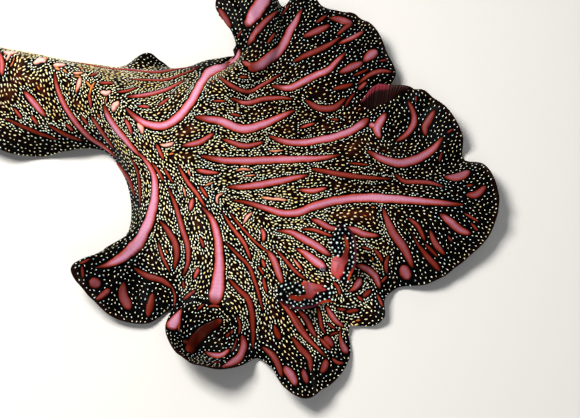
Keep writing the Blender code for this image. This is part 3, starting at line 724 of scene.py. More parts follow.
            (5, 0.5, 0.0, (256, 356), (261, 365)),
        ),
        "flank": (
            (8.6, 0.5, 0.85, (202, 207, 0.8), (210, 216, 0.9), (216, 230), (219, 251), (219, 272, 1.35),
             (217, 290, 2.4), (215, 305, 4.1)),
            (6.6, 0.42, 0.9, (104, 105), (109, 118), (118, 131), (129, 144), (141, 157)),
            (12.5, 0.6, 0.9, (131, 146, 0.5), (145, 160, 0.6), (153, 173, 0.65), (155, 190, 0.75),
             (152, 210, 0.85), (145, 229), (136, 245, 1.1), (123, 257, 1.05), (110, 264, 0.8),
             (95, 268, 0.25)),
            (5.6, 0.55, 0.45, (168, 187), (176, 207), (182, 228), (188, 248), (188, 262), (183, 276)),
            (6.6, 0.5, 0.2, (160, 221), (168, 231), (174, 241), (177, 253), (174, 269)),
            (3.2, 0.5, 0.5, (158, 242), (163, 258), (170, 272)),
            (3.8, 0.5, 0.35, (225, 242), (238, 255), (248, 265), (255, 282), (263, 311)),
            (5.6, 0.45, 0.15, (229, 279), (240, 291), (248, 299), (252, 314), (253, 328), (253, 349)),
            (4.0, 0.6, 0.7, (222, 212), (234, 230), (244, 243), (251, 260)),
            (2.6, 0.5, 0.6, (229, 212), (244, 230), (261, 247), (272, 255)),
            (4.4, 0.4, 0.85, (199, 268), (194, 279)),
            (2.8, 0.5, 0.4, (183, 281), (184, 289)),
            (3.4, 0.5, 0.4, (183, 300), (189, 295), (196, 290)),
            (3, 0.5, 0.5, (200, 237), (204, 248)),
            (2.4, 0.5, 0.6, (258, 266), (264, 275)),
            (2.8, 0.5, 0.6, (263, 279), (266, 291)),
            (6.6, 0.5, 0.2, (134, 268), (147, 276), (161, 280), (173, 288)),
            (10, 0.6, 0.3, (124, 282), (123, 294), (130, 310)),
            (8, 0.5, 0.05, (153, 293), (150, 305), (148, 317)),
            (3, 0.5, 0.4, (90, 259), (79, 264)),
            (3.4, 0.5, 0.2, (82, 266), (83, 278)),
            (11, 0.5, 0.35, (89, 281), (95, 283), (101, 285)),
            (6.6, 0.4, 0.4, (110, 289), (103, 295), (96, 300)),
            (2.8, 0.5, 0.3, (171, 285), (175, 296), (174, 307)),
        ),
        "cup": (
            (12.5, 0.72, 0.95, (182, 308), (178, 315), (173, 324), (171, 330)),
            (2.6, 0.5, 0.6, (181, 317), (179, 325), (179, 332)),
            # these two lie in the cup's hollow, and their glow below 0 paints its shade
            (12.5, 0.42, -0.7, (188, 352, 1.3), (194, 342), (202, 333), (212, 326, 0.9), (222, 320, 1.3)),
            (4, 0.5, -0.6, (183, 341), (191, 344)),
            (5.6, 0.5, 0.75, (205, 352), (214, 356), (222, 355), (230, 349)),
            (7.8, 0.45, 0.55, (242, 335), (244, 346), (240, 356), (232, 363), (222, 368)),
            (2.8, 0.5, 0.35, (237, 316), (240, 325), (239, 335)),
            (2, 0.5, 0.3, (237, 338), (235, 345), (231, 352)),
            (3, 0.5, 0.2, (226, 337), (230, 333)),
            (3, 0.5, 0.3, (231, 334), (233, 330)),
            (2, 0.5, 0.2, (211, 363), (220, 362)),
            (2.6, 0.5, 0.6, (208, 307), (214, 305.5), (220, 307)),
            (2.6, 0.5, 0.3, (197, 310), (204, 304)),
        ),
    },
}

# Pale patches (glow 1) and orange ones (0) along the middle of the back, given as the stripes are
blotches = {
    "lift": 1.2,
    "waver": 0.26,
    # colour from the edge to the middle
    "pale": ((0.0, (0.20, 0.036, 0.012)), (0.20, (0.52, 0.130, 0.070)), (0.50, (0.64, 0.270, 0.210)),
             (1.0, (0.70, 0.430, 0.400))),
    "orange": ((0.0, (0.10, 0.016, 0.003)), (0.25, (0.45, 0.12, 0.015)), (0.8, (0.68, 0.30, 0.07))),
    "routes": (
        (4.4, 0.4, 1.0, (4, 52), (9, 53), (18, 53)),
        (4.2, 0.4, 1.0, (10, 53), (9, 57), (6, 61)),
        (8.4, 0.6, 1.0, (33, 63), (39, 61), (45, 59)),
        (3, 0.5, 0.2, (44, 57), (46, 61)),
        (5, 0.35, 0.9, (53, 65), (58, 65), (66, 65)),
        (3, 0.5, 0.2, (55, 68), (60, 70)),
        (2.6, 0.5, 0.1, (63, 69), (67, 73)),
        (3.6, 0.5, 0.6, (73, 73), (78, 73), (83, 73)),
        (2, 0.5, 0.0, (74, 76), (81, 77)),
        (4.6, 0.3, 0.8, (80, 77), (79, 84), (76, 93)),
        (2.6, 0.5, 0.0, (86, 81), (90, 86), (95, 88)),
        (2.4, 0.4, 0.0, (95, 82), (91, 88), (90, 96)),
        (5, 0.5, 1.0, (100, 92), (105, 93), (111, 91)),
        (2, 0.5, 0.5, (107, 97), (105, 104)),
        (6, 0.45, 0.95, (119, 101), (115, 105), (113, 112)),
        (5, 0.45, 0.9, (137, 123), (141, 128), (143, 134)),
        (4.4, 0.45, 0.95, (160, 144), (166, 146), (174, 142)),
        (3.4, 0.5, 0.9, (223, 193), (218, 196), (216, 200), (218, 204)),
        (3.4, 0.5, 1.0, (252, 212), (247, 218), (243, 224)),
        (2.6, 0.5, 0.7, (236, 171), (243, 169), (251, 170)),
        (2.2, 0.5, 0.6, (269, 151), (277, 151), (284, 150)),
        (3.6, 0.5, 0.7, (261, 197), (273, 199), (287, 200)),
        (2.4, 0.5, 0.7, (188, 169), (190, 176)),
        (2.2, 0.5, 0.5, (183, 187), (186, 197)),
        (2.4, 0.5, 0.9, (293, 258), (297, 264), (302, 270)),
        (2, 0.5, 0.6, (245, 176), (255, 175)),
        (2, 0.5, 0.6, (205, 186), (213, 182)),
    ),
}


# The bowl's rim turns over and shows its pleated maroon lower side: lower and upper edge of the part
# that is seen, in pixels, with a magenta band along the first part of the upper edge
lining = {
    "edges": (
        ((362, 104), (361, 101.5)), ((366, 108), (365, 96)), ((371, 109), (371, 88.5)),
        ((377, 107), (378, 84)), ((385, 104), (386, 84.5)), ((392, 100), (395, 85)), ((398, 95), (403, 85)),
        ((405, 92), (409, 86)), ((412, 89.5), (413, 88)),
    ),
    "columns": 150,
    "rows": 16,
    "pleats": 17,
    "pleatHeight": 0.07,     # mm
    "bulge": 0.62,
    "bulgeTurn": 0.62,       # share of half a turn, so that its upper edge stays proud
    "sunk": 0.12,
    "thickness": 0.28,
    "fullWidth": 8.0,        # pixels, a narrower part stands less proud
    "pleatsFrom": (0.25, 0.60),
    "bandAcross": (0.68, 0.80),
    "bandAlong": (0.60, 0.46),
    "smoothRounds": 20,
    "pleatColours": ((0.010, 0.0016, 0.0012), (0.060, 0.016, 0.010)),
    "bandColour": (0.15, 0.012, 0.022),
}


# Lines along sharp folds kept free of dots, so that their black ground paints the shade of the fold:
# half width in mm, then pixels
foldShadeLines = (
    (0.16, (186, 302), (196, 299.5), (208, 302.5), (216, 303.5), (223, 308)),
    (0.10, (223, 308), (230, 316), (236, 326)),
)


# Small clear patch over the brain, behind the pseudotentacles, with its cluster of eye spots.
# spots: how many, and the half axes of the horseshoe that they stand in, in pixels
eyes = {
    "patch": ((4.0, 0.5, 0.5, (319.5, 267.5), (322.5, 269), (325.5, 270.5)),),
    "middle": (322.5, 269.0),
    "spots": 14,
    "horseshoe": (2.0, 0.9),
    "half": 0.035,
    "rise": 0.165,           # mm over the skin
    "colour": (0.004, 0.003, 0.005),
    "patchColours": ((0.06, 0.04, 0.06), (0.30, 0.24, 0.31)),
}


def cleanShape(build):
    # builds a shape once, reads its corners and faces, and removes it
    piece = build()
    shape = {"points": pointsOf(piece), "faces": [tuple(face.vertices) for face in piece.data.polygons]}
    mesh = piece.data
    bpy.data.objects.remove(piece)
    bpy.data.meshes.remove(mesh)
    return shape


def newPile():
    return {"points": [], "faces": [], "values": {}, "count": 0}


def addCopy(pile, shape, points, **values):
    pile["faces"].extend(tuple(corner + pile["count"] for corner in face) for face in shape["faces"])
    pile["points"].append(points)
    pile["count"] += len(points)
    for name, value in values.items():
        spread = np.broadcast_to(value, (len(points),) + np.shape(value)[1:])
        pile["values"].setdefault(name, []).append(spread)


def pileToPiece(name, pile):
    # one joined mesh of all the copies, with their values as attributes
    points = np.concatenate(pile["points"])
    mesh = bpy.data.meshes.new(name)
    mesh.from_pydata((points * mm).tolist(), [], pile["faces"])
    piece = bpy.data.objects.new(name, mesh)
    bpy.context.collection.objects.link(piece)
    mesh.shade_smooth()
    for key, parts in pile["values"].items():
        joined = np.concatenate(parts)
        if key == "bakePlace":
            setBakePlaces(piece, joined)
        else:
            setValues(piece, key, joined)
    print(name, "made of", len(mesh.polygons), "faces")
    return piece


slabSizes = (8, 16, 32, 64, 128, 192)
slabShapes = {size: cleanShape(lambda: unitSlab("ribbon", size, stripes["acrossCells"]))
              for size in slabSizes}


def routeOnSkin(pixels):
    # runs of skin places along a route through the photograph, each with its share of the route
    pixels = np.array(pixels, float)
    knots = runLengths(pixels)
    at = np.linspace(0.0, knots[-1], max(int(knots[-1] / stripes["routeStep"]), 4))
    runs, run = [], []
    for share, pixel in zip(at / knots[-1], curve(knots, pixels, at)):
        place = seenThrough(pixel)
        if place is None or (run and np.linalg.norm(place - run[-1][0]) > stripes["jump"]):
            runs.append(run)
            run = []
        if place is not None:
            run.append((place, share))
    runs.append(run)
    return [(np.array([place for place, _ in run]), np.array([share for _, share in run]))
            for run in runs if len(run) > 2]


def routeOfRibs(start, end, count=24):
    # places along a line in the body's own coordinates, for stripes that the photograph doesn't show
    share = np.linspace(0.0, 1.0, count)
    s = np.clip(start[0] + (end[0] - start[0]) * share, 0.002, 0.998)
    t = start[1] + (end[1] - start[1]) * share
    return flesh(s, t, np.zeros(count)), share


def stripeHalf(share, widest, half):
    bend = math.log(0.5) / math.log(widest)
    return np.maximum(half * np.sin(math.pi * share ** bend) ** stripes["body"], stripes["leastHalf"])


def wavering(distance, seed):
    return (np.sin(1.9 * distance + seed) + 0.6 * np.sin(4.3 * distance + 2.1 * seed)
            + 0.35 * np.sin(9.7 * distance + 3.7 * seed))


def stripeFrame(points):
    # a line through these points on the skin, with its direction and the direction across it
    found = [onSkin(point) for point in points]
    middle = np.array([place for place, _ in found])
    along = oneLong(np.gradient(middle, axis=0))
    return middle, along, oneLong(np.cross(np.array([normal for _, normal in found]), along))


def slopeSpread(along, aside):
    # a stripe on a slope is wider than it looks in the photograph
    seen = oneLong(np.cross(viewBack, along))
    facing = np.abs(np.sum(aside * seen, axis=1))
    wider = 1.0 / np.maximum(facing, 1.0 / stripes["mostSpread"])
    for _ in range(6):
        wider[1:-1] = (wider[:-2] + wider[1:-1] + wider[2:]) / 3
    return wider


def layStripe(pile, places, shares, half, widest, glow, spread=True, lift=1.0, waver=stripes["waver"]):
    # one raised ribbon along these places on the skin
    for _ in range(2):
        places[1:-1] = (places[:-2] + 2 * places[1:-1] + places[2:]) / 4
    knots = runLengths(places)
    if knots[-1] < stripes["shortest"]:
        return
    columns = next((size for size in slabSizes if size >= knots[-1] / stripes["columnStep"]), slabSizes[-1])
    cells = stripes["acrossCells"]
    distance = np.linspace(0.0, knots[-1], columns + 1)
    share = np.interp(distance, knots, shares)
    middle, along, aside = stripeFrame(curve(knots, places, distance))
    half = np.interp(distance, knots, np.broadcast_to(half, len(places)))
    halves = stripeHalf(np.clip(share, 1e-4, 1 - 1e-4), widest, half)
    if spread:
        halves = halves * slopeSpread(along, aside)
    seed = middle[0, 0] * 7 + middle[0, 1] * 3
    across = np.linspace(-1, 1, cells + 1)
    top = np.zeros((columns + 1, cells + 1, 3))
    up = np.zeros_like(top)
    for j, a in enumerate(across):
        ragged = 1 + waver * wavering(distance, seed + (1.7 if a > 0 else 0.0))
        for i in range(columns + 1):
            top[i, j], up[i, j] = onSkin(middle[i] + aside[i] * (a * halves[i] * ragged[i]))
    crown = stripes["lift"] * lift * np.minimum(halves / stripes["fullLiftHalf"], 1.0)[:, None]
    crown = crown * (1 - across * across) ** 0.6
    high = top + up * (crown - stripes["sink"] * across ** 8)[:, :, None]
    low = top - up * stripes["depth"]
    shape = slabShapes[columns]
    i, j = gridPlace(shape["points"], columns, cells)
    points = np.where((shape["points"][:, 2] < -0.5)[:, None], low[i, j], high[i, j])
    inward = (1 - np.abs(across[j])) * halves[i]
    fadeIn, fadeOut = stripes["glowFade"]
    glows = glow * smoothStep(0.0, fadeIn, share) * smoothStep(1.0, fadeOut, share)
    # darker towards the rim: partly the stripes' deeper red there, partly painted shade
    dusk = smoothStep(*stripes["rimPigmentAndShadeZone"], np.array([farOut(point) for point in middle]))
    addCopy(pile, shape, points, inward=inward, along=distance[i], glow=glows[i], dusk=dusk[i],
            bakePlace=planPlace(points))
    for i in range(columns + 1):
        marks.append((middle[i], halves[i], along[i]))


stripePile, blotchPile, eyePile = newPile(), newPile(), newPile()
marks = []       # middle places of all stripes with their half width and direction


def layRoutes(pile, rows, lift=1.0, waver=stripes["waver"]):
    for width, widest, glow, *pixels in rows:
        line = np.array([pixel[:2] for pixel in pixels], float)
        swell = [pixel[2] if len(pixel) > 2 else 1.0 for pixel in pixels]
        knots = runLengths(line)
        for places, shares in routeOnSkin(line):
            half = width * mmPerPixel / 2 * np.interp(shares, knots / knots[-1], swell)
            layStripe(pile, places, shares, half, widest, glow, lift=lift, waver=waver)


for rows in stripes["routes"].values():
    layRoutes(stripePile, rows)
layRoutes(blotchPile, blotches["routes"], blotches["lift"], blotches["waver"])
layRoutes(eyePile, eyes["patch"], 1.3)
# no dots near these lines: the bare black ground is painted fold shade
for half, *pixels in foldShadeLines:
    for places, _ in routeOnSkin(pixels):
        for place, along in zip(places, np.gradient(places, axis=0)):
            marks.append((place, half, oneLong(along)))
print("stripes of the photograph laid:", len(marks), "marks")


def makeTurnedRim():
    columns, rows = lining["columns"], lining["rows"]
    rim = unitSlab("turnedRim", columns, rows)
    unit = pointsOf(rim)
    edges = np.array(lining["edges"], float)
    knots = runLengths(edges.mean(axis=1))
    at = np.linspace(0.0, knots[-1], columns + 1)
    lower, upperEdge = curve(knots, edges[:, 0], at), curve(knots, edges[:, 1], at)
    foot = np.array([seenThrough(pixel) for pixel in lower])
    depth = np.linalg.norm(foot - eye, axis=1)
    for _ in range(lining["smoothRounds"]):
        depth[1:-1] = (depth[:-2] + depth[1:-1] + depth[2:]) / 3
    i, _ = gridPlace(unit, columns, rows)
    v = unit[:, 1:2]
    rays = np.array([pixelRay(pixel) for pixel in lower[i] * (1 - v) + upperEdge[i] * v])
    u, v = unit[:, 0], v[:, 0]
    narrow = np.minimum(np.linalg.norm(upperEdge - lower, axis=1) / lining["fullWidth"], 1.0)[i]
    lift = lining["bulge"] * np.sin(lining["bulgeTurn"] * math.pi * v) * narrow - lining["sunk"]
    turn = 2 * math.pi * lining["pleats"] * (u + 0.02 * np.sin(9 * u) + 0.01 * np.sin(31 * u) - 0.03 * v)
    lift = lift + lining["pleatHeight"] * np.sin(turn) * np.sin(math.pi * v) ** 0.5 * narrow
    thick = lining["thickness"] * (0.4 + 0.6 * np.sqrt(1 - (2 * v - 1) ** 6)) * np.clip(-unit[:, 2], 0, 1)
    points = eye + rays * (depth[i] - lift + thick)[:, None]
    setPoints(rim, points)
    finishShell(rim)
    setValues(rim, "ridge", (0.5 + 0.5 * np.sin(turn)) * smoothStep(*lining["pleatsFrom"], u))
    setValues(rim, "band", smoothStep(*lining["bandAcross"], v) * smoothStep(*lining["bandAlong"], u))
    setBakePlaces(rim, planPlace(points))
    return rim


turnedRim = makeTurnedRim()
print("turned rim made")

# Stripes where the photograph doesn't show the skin: they run from the back towards the rim
hiddenStripes = {
    "tries": 1500,
    "clear": 1.1,            # least distance to another stripe, in mm
    "half": (0.28, 0.75),
    "start": (0.10, 0.50),   # share of the way from the back to the rim
    "length": (0.22, 0.62),
    "outermost": 0.94,
    "drift": (-0.008, 0.004),    # along the back
    "glow": (0.2, 0.9),
    "widest": (0.35, 0.6),
    "shortest": 2.0,
    "mostHalf": 0.14,        # as a share of the length
}


def isShown(place, slack=1.0):
    u, v = pixelOf(place[None])[0]
    if not (-2 < u < photo["wide"] + 2 and -2 < v < photo["high"] + 2):
        return False
    found = seenThrough((u, v))
    return found is not None and np.linalg.norm(found - place) < slack


def addHiddenStripes():
    count = 0
    for _ in range(hiddenStripes["tries"]):
        s = float(np.interp(chance.random() * body["columns"], np.arange(body["columns"] + 1), columnPlaces))
        side = 1 if chance.random() < 0.5 else -1
        t = chance.uniform(*hiddenStripes["start"])
        end = min(t + chance.uniform(*hiddenStripes["length"]), hiddenStripes["outermost"])
        drift = chance.uniform(*hiddenStripes["drift"])
        half = chance.uniform(*hiddenStripes["half"])
        glow = chance.uniform(*hiddenStripes["glow"])
        widest = chance.uniform(*hiddenStripes["widest"])
        places, shares = routeOfRibs((s, side * t), (s + drift, side * end))
        length = runLengths(places)[-1]
        if length < hiddenStripes["shortest"] or any(isShown(place) for place in places[::4]):
            continue
        taken = np.array([place for place, _, _ in marks])
        halves = np.array([wide for _, wide, _ in marks])
        gaps = np.linalg.norm(places[::3, None] - taken[None], axis=2) - halves[None]
        if gaps.min() < hiddenStripes["clear"] + half:
            continue
        half = min(half, hiddenStripes["mostHalf"] * length)
        layStripe(stripePile, places, shares, half, widest, glow, spread=False)
        count += 1
    print("stripes out of the photograph's sight:", count)


addHiddenStripes()

markPlaces = np.array([place for place, _, _ in marks])
markHalves = np.array([half for _, half, _ in marks])
markAlong = np.array([along for _, _, along in marks])
markTree = KDTree(len(markPlaces))
for number, place in enumerate(markPlaces):
    markTree.insert(place, number)
markTree.balance()


def toStripe(place):
    # distance to the nearest stripe's edge, and that stripe's direction there
    best, direction = 1e9, 0
    for _, number, distance in markTree.find_n(place, 10):
        gap = distance - markHalves[number]
        if gap < best:
            best, direction = gap, number
    return max(best, 0.0), direction


# Dots: sizes and steps in mm. They are small and close beside the stripes, larger and longer between them
dots = {
    "tries": 260000,
    "border": 0.19,          # from a stripe's edge to the middle of the nearest dots
    "closeStep": 0.28,       # least steps across the flow
    "openStep": 0.44,
    "openFrom": 0.15,        # distances from a stripe between which the dots take their open step
    "reach": 1.2,
    "rimStep": 0.56,
    "rimZone": (0.70, 0.95),     # share of the way out over which the rim's step and size take over
    "farStep": 0.50,         # on the wide lobes, farAway mm or more from the middle of the back
    "farAway": (9.0, 20.0),
    "closeStretch": 1.05,
    "stretch": 1.7,          # how much wider the open dots are spaced along the flow
    "closeHalf": 0.085,
    "openHalf": 0.112,
    "rimHalf": 0.070,
    "closeAspect": 1.6,
    "openAspect": 2.4,
    "height": 0.15,
    "fullHeightHalf": 0.15,  # half width from which a dot has its full height
    "sides": 8,
    "rimBare": 0.996,
    "patch": 0.0015,         # half the width of a dot on the unwrap
    "colours": ((0.0, (0.66, 0.92, 0.92)), (0.25, (0.95, 0.98, 0.76)), (0.55, (0.98, 0.88, 0.44)),
                (0.84, (0.92, 0.58, 0.14)), (1.0, (0.62, 0.15, 0.03))),
    "tint": 0.28,            # place among these colours, and what changes it
    "openTint": 0.30,
    "rimTint": -0.24,
    "grainTint": 0.36,
    "cloudTint": 0.12,
    "rustShare": 0.015,      # of the open dots, which are longer too
    "rustAspect": 1.5,
    "pieceEnds": {"tail": -19.0, "waist": 0.0, "right": -10.0, "middle": 6.0},    # along x, then along y
}


def buildDot():
    bpy.ops.object.select_all(action="DESELECT")
    bpy.ops.mesh.primitive_circle_add(
        vertices=dots["sides"], radius=1.0, fill_type="NGON", location=(0, 0, 0))
    dot = bpy.context.object
    bpy.ops.object.mode_set(mode="EDIT")
    bpy.ops.mesh.select_all(action="SELECT")
    bpy.ops.transform.translate(value=(0.0, 0.0, -0.6))
    for rise, scale in ((0.8, 0.88), (0.2, 0.58)):
        bpy.ops.mesh.extrude_region_move(TRANSFORM_OT_translate={"value": (0.0, 0.0, rise)})
        bpy.ops.transform.resize(value=(scale, scale, 1.0))
    bpy.ops.mesh.select_all(action="SELECT")
    bpy.ops.mesh.normals_make_consistent(inside=False)
    bpy.ops.object.mode_set(mode="OBJECT")
    bpy.ops.object.select_all(action="DESELECT")
    return dot


dotShape = cleanShape(buildDot)


def dotPoints(place, along, aside, normal, length, width, height):
    # corners of one dot set down at a place. length and width may differ from corner to corner
    x, y, z = dotShape["points"].T[:, :, None]
    return place + along * (x * length) + aside * (y * width) + normal * (z * height)


def scatterPlaces():
    # random places on the upper skin, evenly by area, with how far out each lies
    corners = sheetTop[:-1, :-1], sheetTop[1:, :-1], sheetTop[1:, 1:], sheetTop[:-1, 1:]
    area = (np.linalg.norm(np.cross(corners[1] - corners[0], corners[2] - corners[0]), axis=2)
            + np.linalg.norm(np.cross(corners[2] - corners[0], corners[3] - corners[0]), axis=2)).ravel()
    cell = chance.choice(len(area), size=dots["tries"], p=area / area.sum())
    i, j = cell // body["rows"], cell % body["rows"]
    u, v = chance.random((2, dots["tries"], 1))

    def blend(grid):
        return (grid[i, j] * (1 - u) * (1 - v) + grid[i + 1, j] * u * (1 - v)
                + grid[i + 1, j + 1] * u * v + grid[i, j + 1] * (1 - u) * v)

    out = np.abs(rowPlaces[j] * (1 - v[:, 0]) + rowPlaces[j + 1] * v[:, 0])
    s = columnPlaces[i] * (1 - u[:, 0]) + columnPlaces[i + 1] * u[:, 0]
    return blend(sheetTop), oneLong(blend(sheetNormals)), out, s


def slowNoise(points, length, seed):
    # smooth noise between -1 and 1
    total = 0.0
    for k in range(4):
        turn = np.array([math.sin(2.1 * k + seed), math.cos(1.3 * k + seed), math.sin(0.7 * k + 2 * seed)])
        total = total + np.sin(points @ turn * (2 * math.pi / length) * (1 + 0.35 * k) + 1.9 * k + seed)
    return total / 4


def settleDots(places, flow, steps, stretches):
    # keeps each random place that isn't too close to one kept before, in a grid of small boxes
    box = float(max(steps * stretches))
    kept, grid = [], {}
    cells = np.floor(places / box).astype(int).tolist()
    places, flow, steps = places.tolist(), flow.tolist(), steps.tolist()
    squeezes = (1 - 1 / stretches ** 2).tolist()
    near = [(a, b, c) for a in (-1, 0, 1) for b in (-1, 0, 1) for c in (-1, 0, 1)]

    def isFree(number):
        (cx, cy, cz), (x, y, z), (fx, fy, fz) = cells[number], places[number], flow[number]
        least, squeeze = steps[number], squeezes[number]
        for a, b, c in near:
            for other in grid.get((cx + a, cy + b, cz + c), ()):
                ox, oy, oz = places[other]
                dx, dy, dz = x - ox, y - oy, z - oz
                along = dx * fx + dy * fy + dz * fz
                gap = dx * dx + dy * dy + dz * dz - squeeze * along * along
                wanted = 0.5 * (least + steps[other])
                if gap < wanted * wanted:
                    return False
        return True

    for number, cell in enumerate(cells):
        if isFree(number):
            grid.setdefault(tuple(cell), []).append(number)
            kept.append(number)
    return np.array(kept)


def placeDots():
    # places of the dots, the skin's normal and the flow there, and how open, far out and near the rim
    places, normals, out, s = scatterPlaces()
    keep = out < dots["rimBare"]
    places, normals, out, s = places[keep], normals[keep], out[keep], s[keep]
    found = [toStripe(place) for place in places]
    gap = np.array([distance for distance, _ in found])
    flow = markAlong[[number for _, number in found]]
    keep = gap > dots["border"]
    places, normals, out, s, gap, flow = (values[keep] for values in (places, normals, out, s, gap, flow))
    flow = oneLong(flow - normals * np.sum(flow * normals, axis=1)[:, None], 1e-6)
    openness = smoothStep(dots["openFrom"], dots["reach"], gap + 0.35 * slowNoise(places, 7.0, 5.0))
    rim = smoothStep(*dots["rimZone"], out)
    away = np.linalg.norm((places + body["centre"] - curve(backKnots, back[:, :3], s))[:, :2], axis=1)
    far = smoothStep(*dots["farAway"], away)
    steps = dots["closeStep"] + (dots["openStep"] - dots["closeStep"]) * openness
    steps = steps + (dots["farStep"] - steps) * far * smoothStep(0.0, 0.6, openness)
    steps = steps + (dots["rimStep"] - steps) * rim
    steps = steps * (1 + 0.08 * slowNoise(places, 9.0, 1.0))
    stretches = dots["closeStretch"] + (dots["stretch"] - dots["closeStretch"]) * openness * (1 - rim)
    kept = settleDots(places, flow, steps, stretches)
    return [values[kept] for values in (places, normals, flow, openness, far, rim)]


def dotPieceAt(x, y):
    ends = dots["pieceEnds"]
    if x < ends["waist"]:
        return "dotsTail" if x < ends["tail"] else "dotsWaist"
    if y < ends["right"]:
        return "dotsRight"
    return "dotsMiddle" if y < ends["middle"] else "dotsLeft"


def makeDots():
    place, normal, along, openness, far, rim = placeDots()
    grain = chance.random((5, len(place)))
    half = dots["closeHalf"] + (dots["openHalf"] - dots["closeHalf"]) * openness
    half = (half + (dots["rimHalf"] - half) * np.maximum(rim, 0.7 * far)) * (0.82 + 0.34 * grain[0])
    longer = dots["openAspect"] - dots["closeAspect"]
    longer = longer * openness * (0.4 + 0.9 * grain[2]) * (1 - 0.6 * rim)
    rust = (grain[3] > 1 - dots["rustShare"]) & (openness > 0.5) & (rim < 0.6)
    aspect = (1.35 + 0.7 * grain[1] + longer) * np.where(rust, dots["rustAspect"], 1.0)
    tint = dots["tint"] + dots["openTint"] * openness + dots["rimTint"] * rim
    tint = tint + dots["grainTint"] * (grain[4] - 0.5) + dots["cloudTint"] * slowNoise(place, 14.0, 2.3)
    tint = np.where(rust, 1.0, np.clip(tint, 0.0, dots["colours"][-2][0]))
    aside = np.cross(normal, along)
    twist = 0.5 * (grain[2] - 0.5)[:, None]
    along, aside = (along * np.cos(twist) + aside * np.sin(twist),
                    aside * np.cos(twist) - along * np.sin(twist))
    unit = dotShape["points"]
    angle = np.arctan2(unit[:, 1:2], unit[:, :1])
    piles = {name: newPile() for name in ("dotsTail", "dotsWaist", "dotsMiddle", "dotsLeft", "dotsRight")}
    for n in range(len(place)):
        ragged = 1 + 0.16 * np.sin(2 * angle + 40 * grain[0, n]) + 0.10 * np.sin(3 * angle + 30 * grain[3, n])
        wide = ragged * half[n]
        high = dots["height"] * min(1.0, half[n] / dots["fullHeightHalf"])
        points = dotPoints(place[n], along[n], aside[n], normal[n], wide * aspect[n], wide, high)
        bake = planPlace(place[n][None]) + unit[:, :2] * dots["patch"]
        addCopy(piles[dotPieceAt(*place[n, :2])], dotShape, points, tint=tint[n], bakePlace=bake)
    print("dots:", len(place), {name: len(pile["points"]) for name, pile in piles.items()})
    return piles


dotPiles = makeDots()

# Pseudotentacles: the spine of each from its root up to the bend and back down, as x, y, height,
# inner width and outer width in the maker's own frame
tentacles = {
    "spines": {
        1: ((13.2, -5.8, 1.8, 0.5, 0.9), (12.2, -4.7, 3.2, 1.8, 1.0), (12.0, -3.0, 4.8, 2.4, 1.1),
            (11.3, -1.7, 6.4, 0.8, 1.1), (10.3, -0.7, 7.6, 0.5, 1.1), (9.4, -0.6, 8.2, 0.5, 1.0),
            (9.3, -1.7, 7.9, 0.7, 0.9), (10.0, -2.8, 7.2, 1.1, 0.9), (11.0, -3.5, 6.5, 0.7, 0.6)),
        -1: ((13.0, -7.4, 1.8, 0.5, 0.9), (11.4, -8.8, 3.2, 1.5, 1.0), (10.3, -11.2, 4.8, 2.9, 1.1),
             (9.1, -13.0, 6.4, 1.0, 1.1), (7.8, -13.6, 7.6, 0.5, 1.1), (7.1, -13.3, 8.2, 0.5, 1.0),
             (7.5, -12.3, 7.9, 0.7, 0.9), (8.6, -11.6, 7.2, 1.1, 0.9), (9.5, -11.4, 6.5, 0.7, 0.6)),
    },
    "names": {1: "pseudotentacle_left", -1: "pseudotentacle_right"},
    # the pale middle of the red face is partly its own colour and partly a painted highlight
    "faceStart": {1: 0.12, -1: 0.16},    # where the red inner face begins, how round it is there,
    "faceRound": {1: 0.0, -1: 0.16},     # and where it is palest
    "facePaleAndHighlight": {1: 0.27, -1: 0.33},
    "thickness": 0.7,
    "facing": np.array([0.25, -0.40, 0.88]),
    "cup": 0.9,
    "bulb": 0.55,
    "bulbZone": (0.62, 0.78),    # shares of the spine
    "tipZone": (0.9, 0.1),       # where the tip starts to round, and how long it is
    "clear": 0.14,           # mm over the head's skin
    "sunk": 0.5,             # how deep the lower side of a part that lies on the head is in its skin
    "rootSunk": 0.45,
    "rootEnd": 0.09,
    "columns": 130,
    "rows": 36,
    "dotTries": 2500,
    "dotStep": 0.56,
    "dotHalf": 0.145,
    "dotAspect": 1.15,
    "reddest": 0.02,         # no dots where the colour is redder
}


def crook(side, u, v, below):
    # cupped leaf along a hooked spine. v = 0 is its inner edge, on the side that it hooks to
    rows = np.array(tentacles["spines"][side])
    knots = runLengths(rows[:, :3])
    at = np.clip(u, 0.003, 0.997) * knots[-1]
    spine = curve(knots, rows[:, :3], at)
    tipStart, tipLength = tentacles["tipZone"]
    tip = np.sqrt(np.clip(1 - ((u - tipStart) / tipLength).clip(0, 1) ** 2, 0.02, 1))
    width = curve(knots, rows[:, 3:], at) * tip[:, None]
    ahead = oneLong(curve(knots, rows[:, :3], at + 0.03) - curve(knots, rows[:, :3], at - 0.03))
    inward = oneLong(side * np.cross(tentacles["facing"], ahead))
    face = side * np.cross(ahead, inward)
    across = 1 - 2 * v
    level = np.where(across > 0, across * width[:, 0], across * width[:, 1])
    lift = tentacles["cup"] * np.clip(-across, 0, 1) ** 2
    lift = lift + tentacles["bulb"] * smoothStep(*tentacles["bulbZone"], u) * (1 - across ** 2)
    thick = tentacles["thickness"] * (0.25 + 0.75 * np.sqrt(np.clip(1 - across ** 6, 0, 1)))
    rounded = 0.5 * (tentacles["thickness"] - thick)
    point = spine + inward * level[:, None] + face * (lift - rounded - below * thick)[:, None]
    return point - body["centre"]


def restOnHead(points, u, below):
    # parts of the leaf that would be under the head's skin lie on it, with their lower side sunk in,
    # and its root dips into the skin
    sunk = tentacles["sunk"] * below + tentacles["rootSunk"] * smoothStep(tentacles["rootEnd"], 0.0, u)
    for number, point in enumerate(points):
        place = skinTree.ray_cast(Vector((point[0], point[1], 60.0)), Vector((0, 0, -1)))[0]
        if place is not None:
            points[number, 2] = max(point[2], place[2] + tentacles["clear"] - sunk[number])
    return points


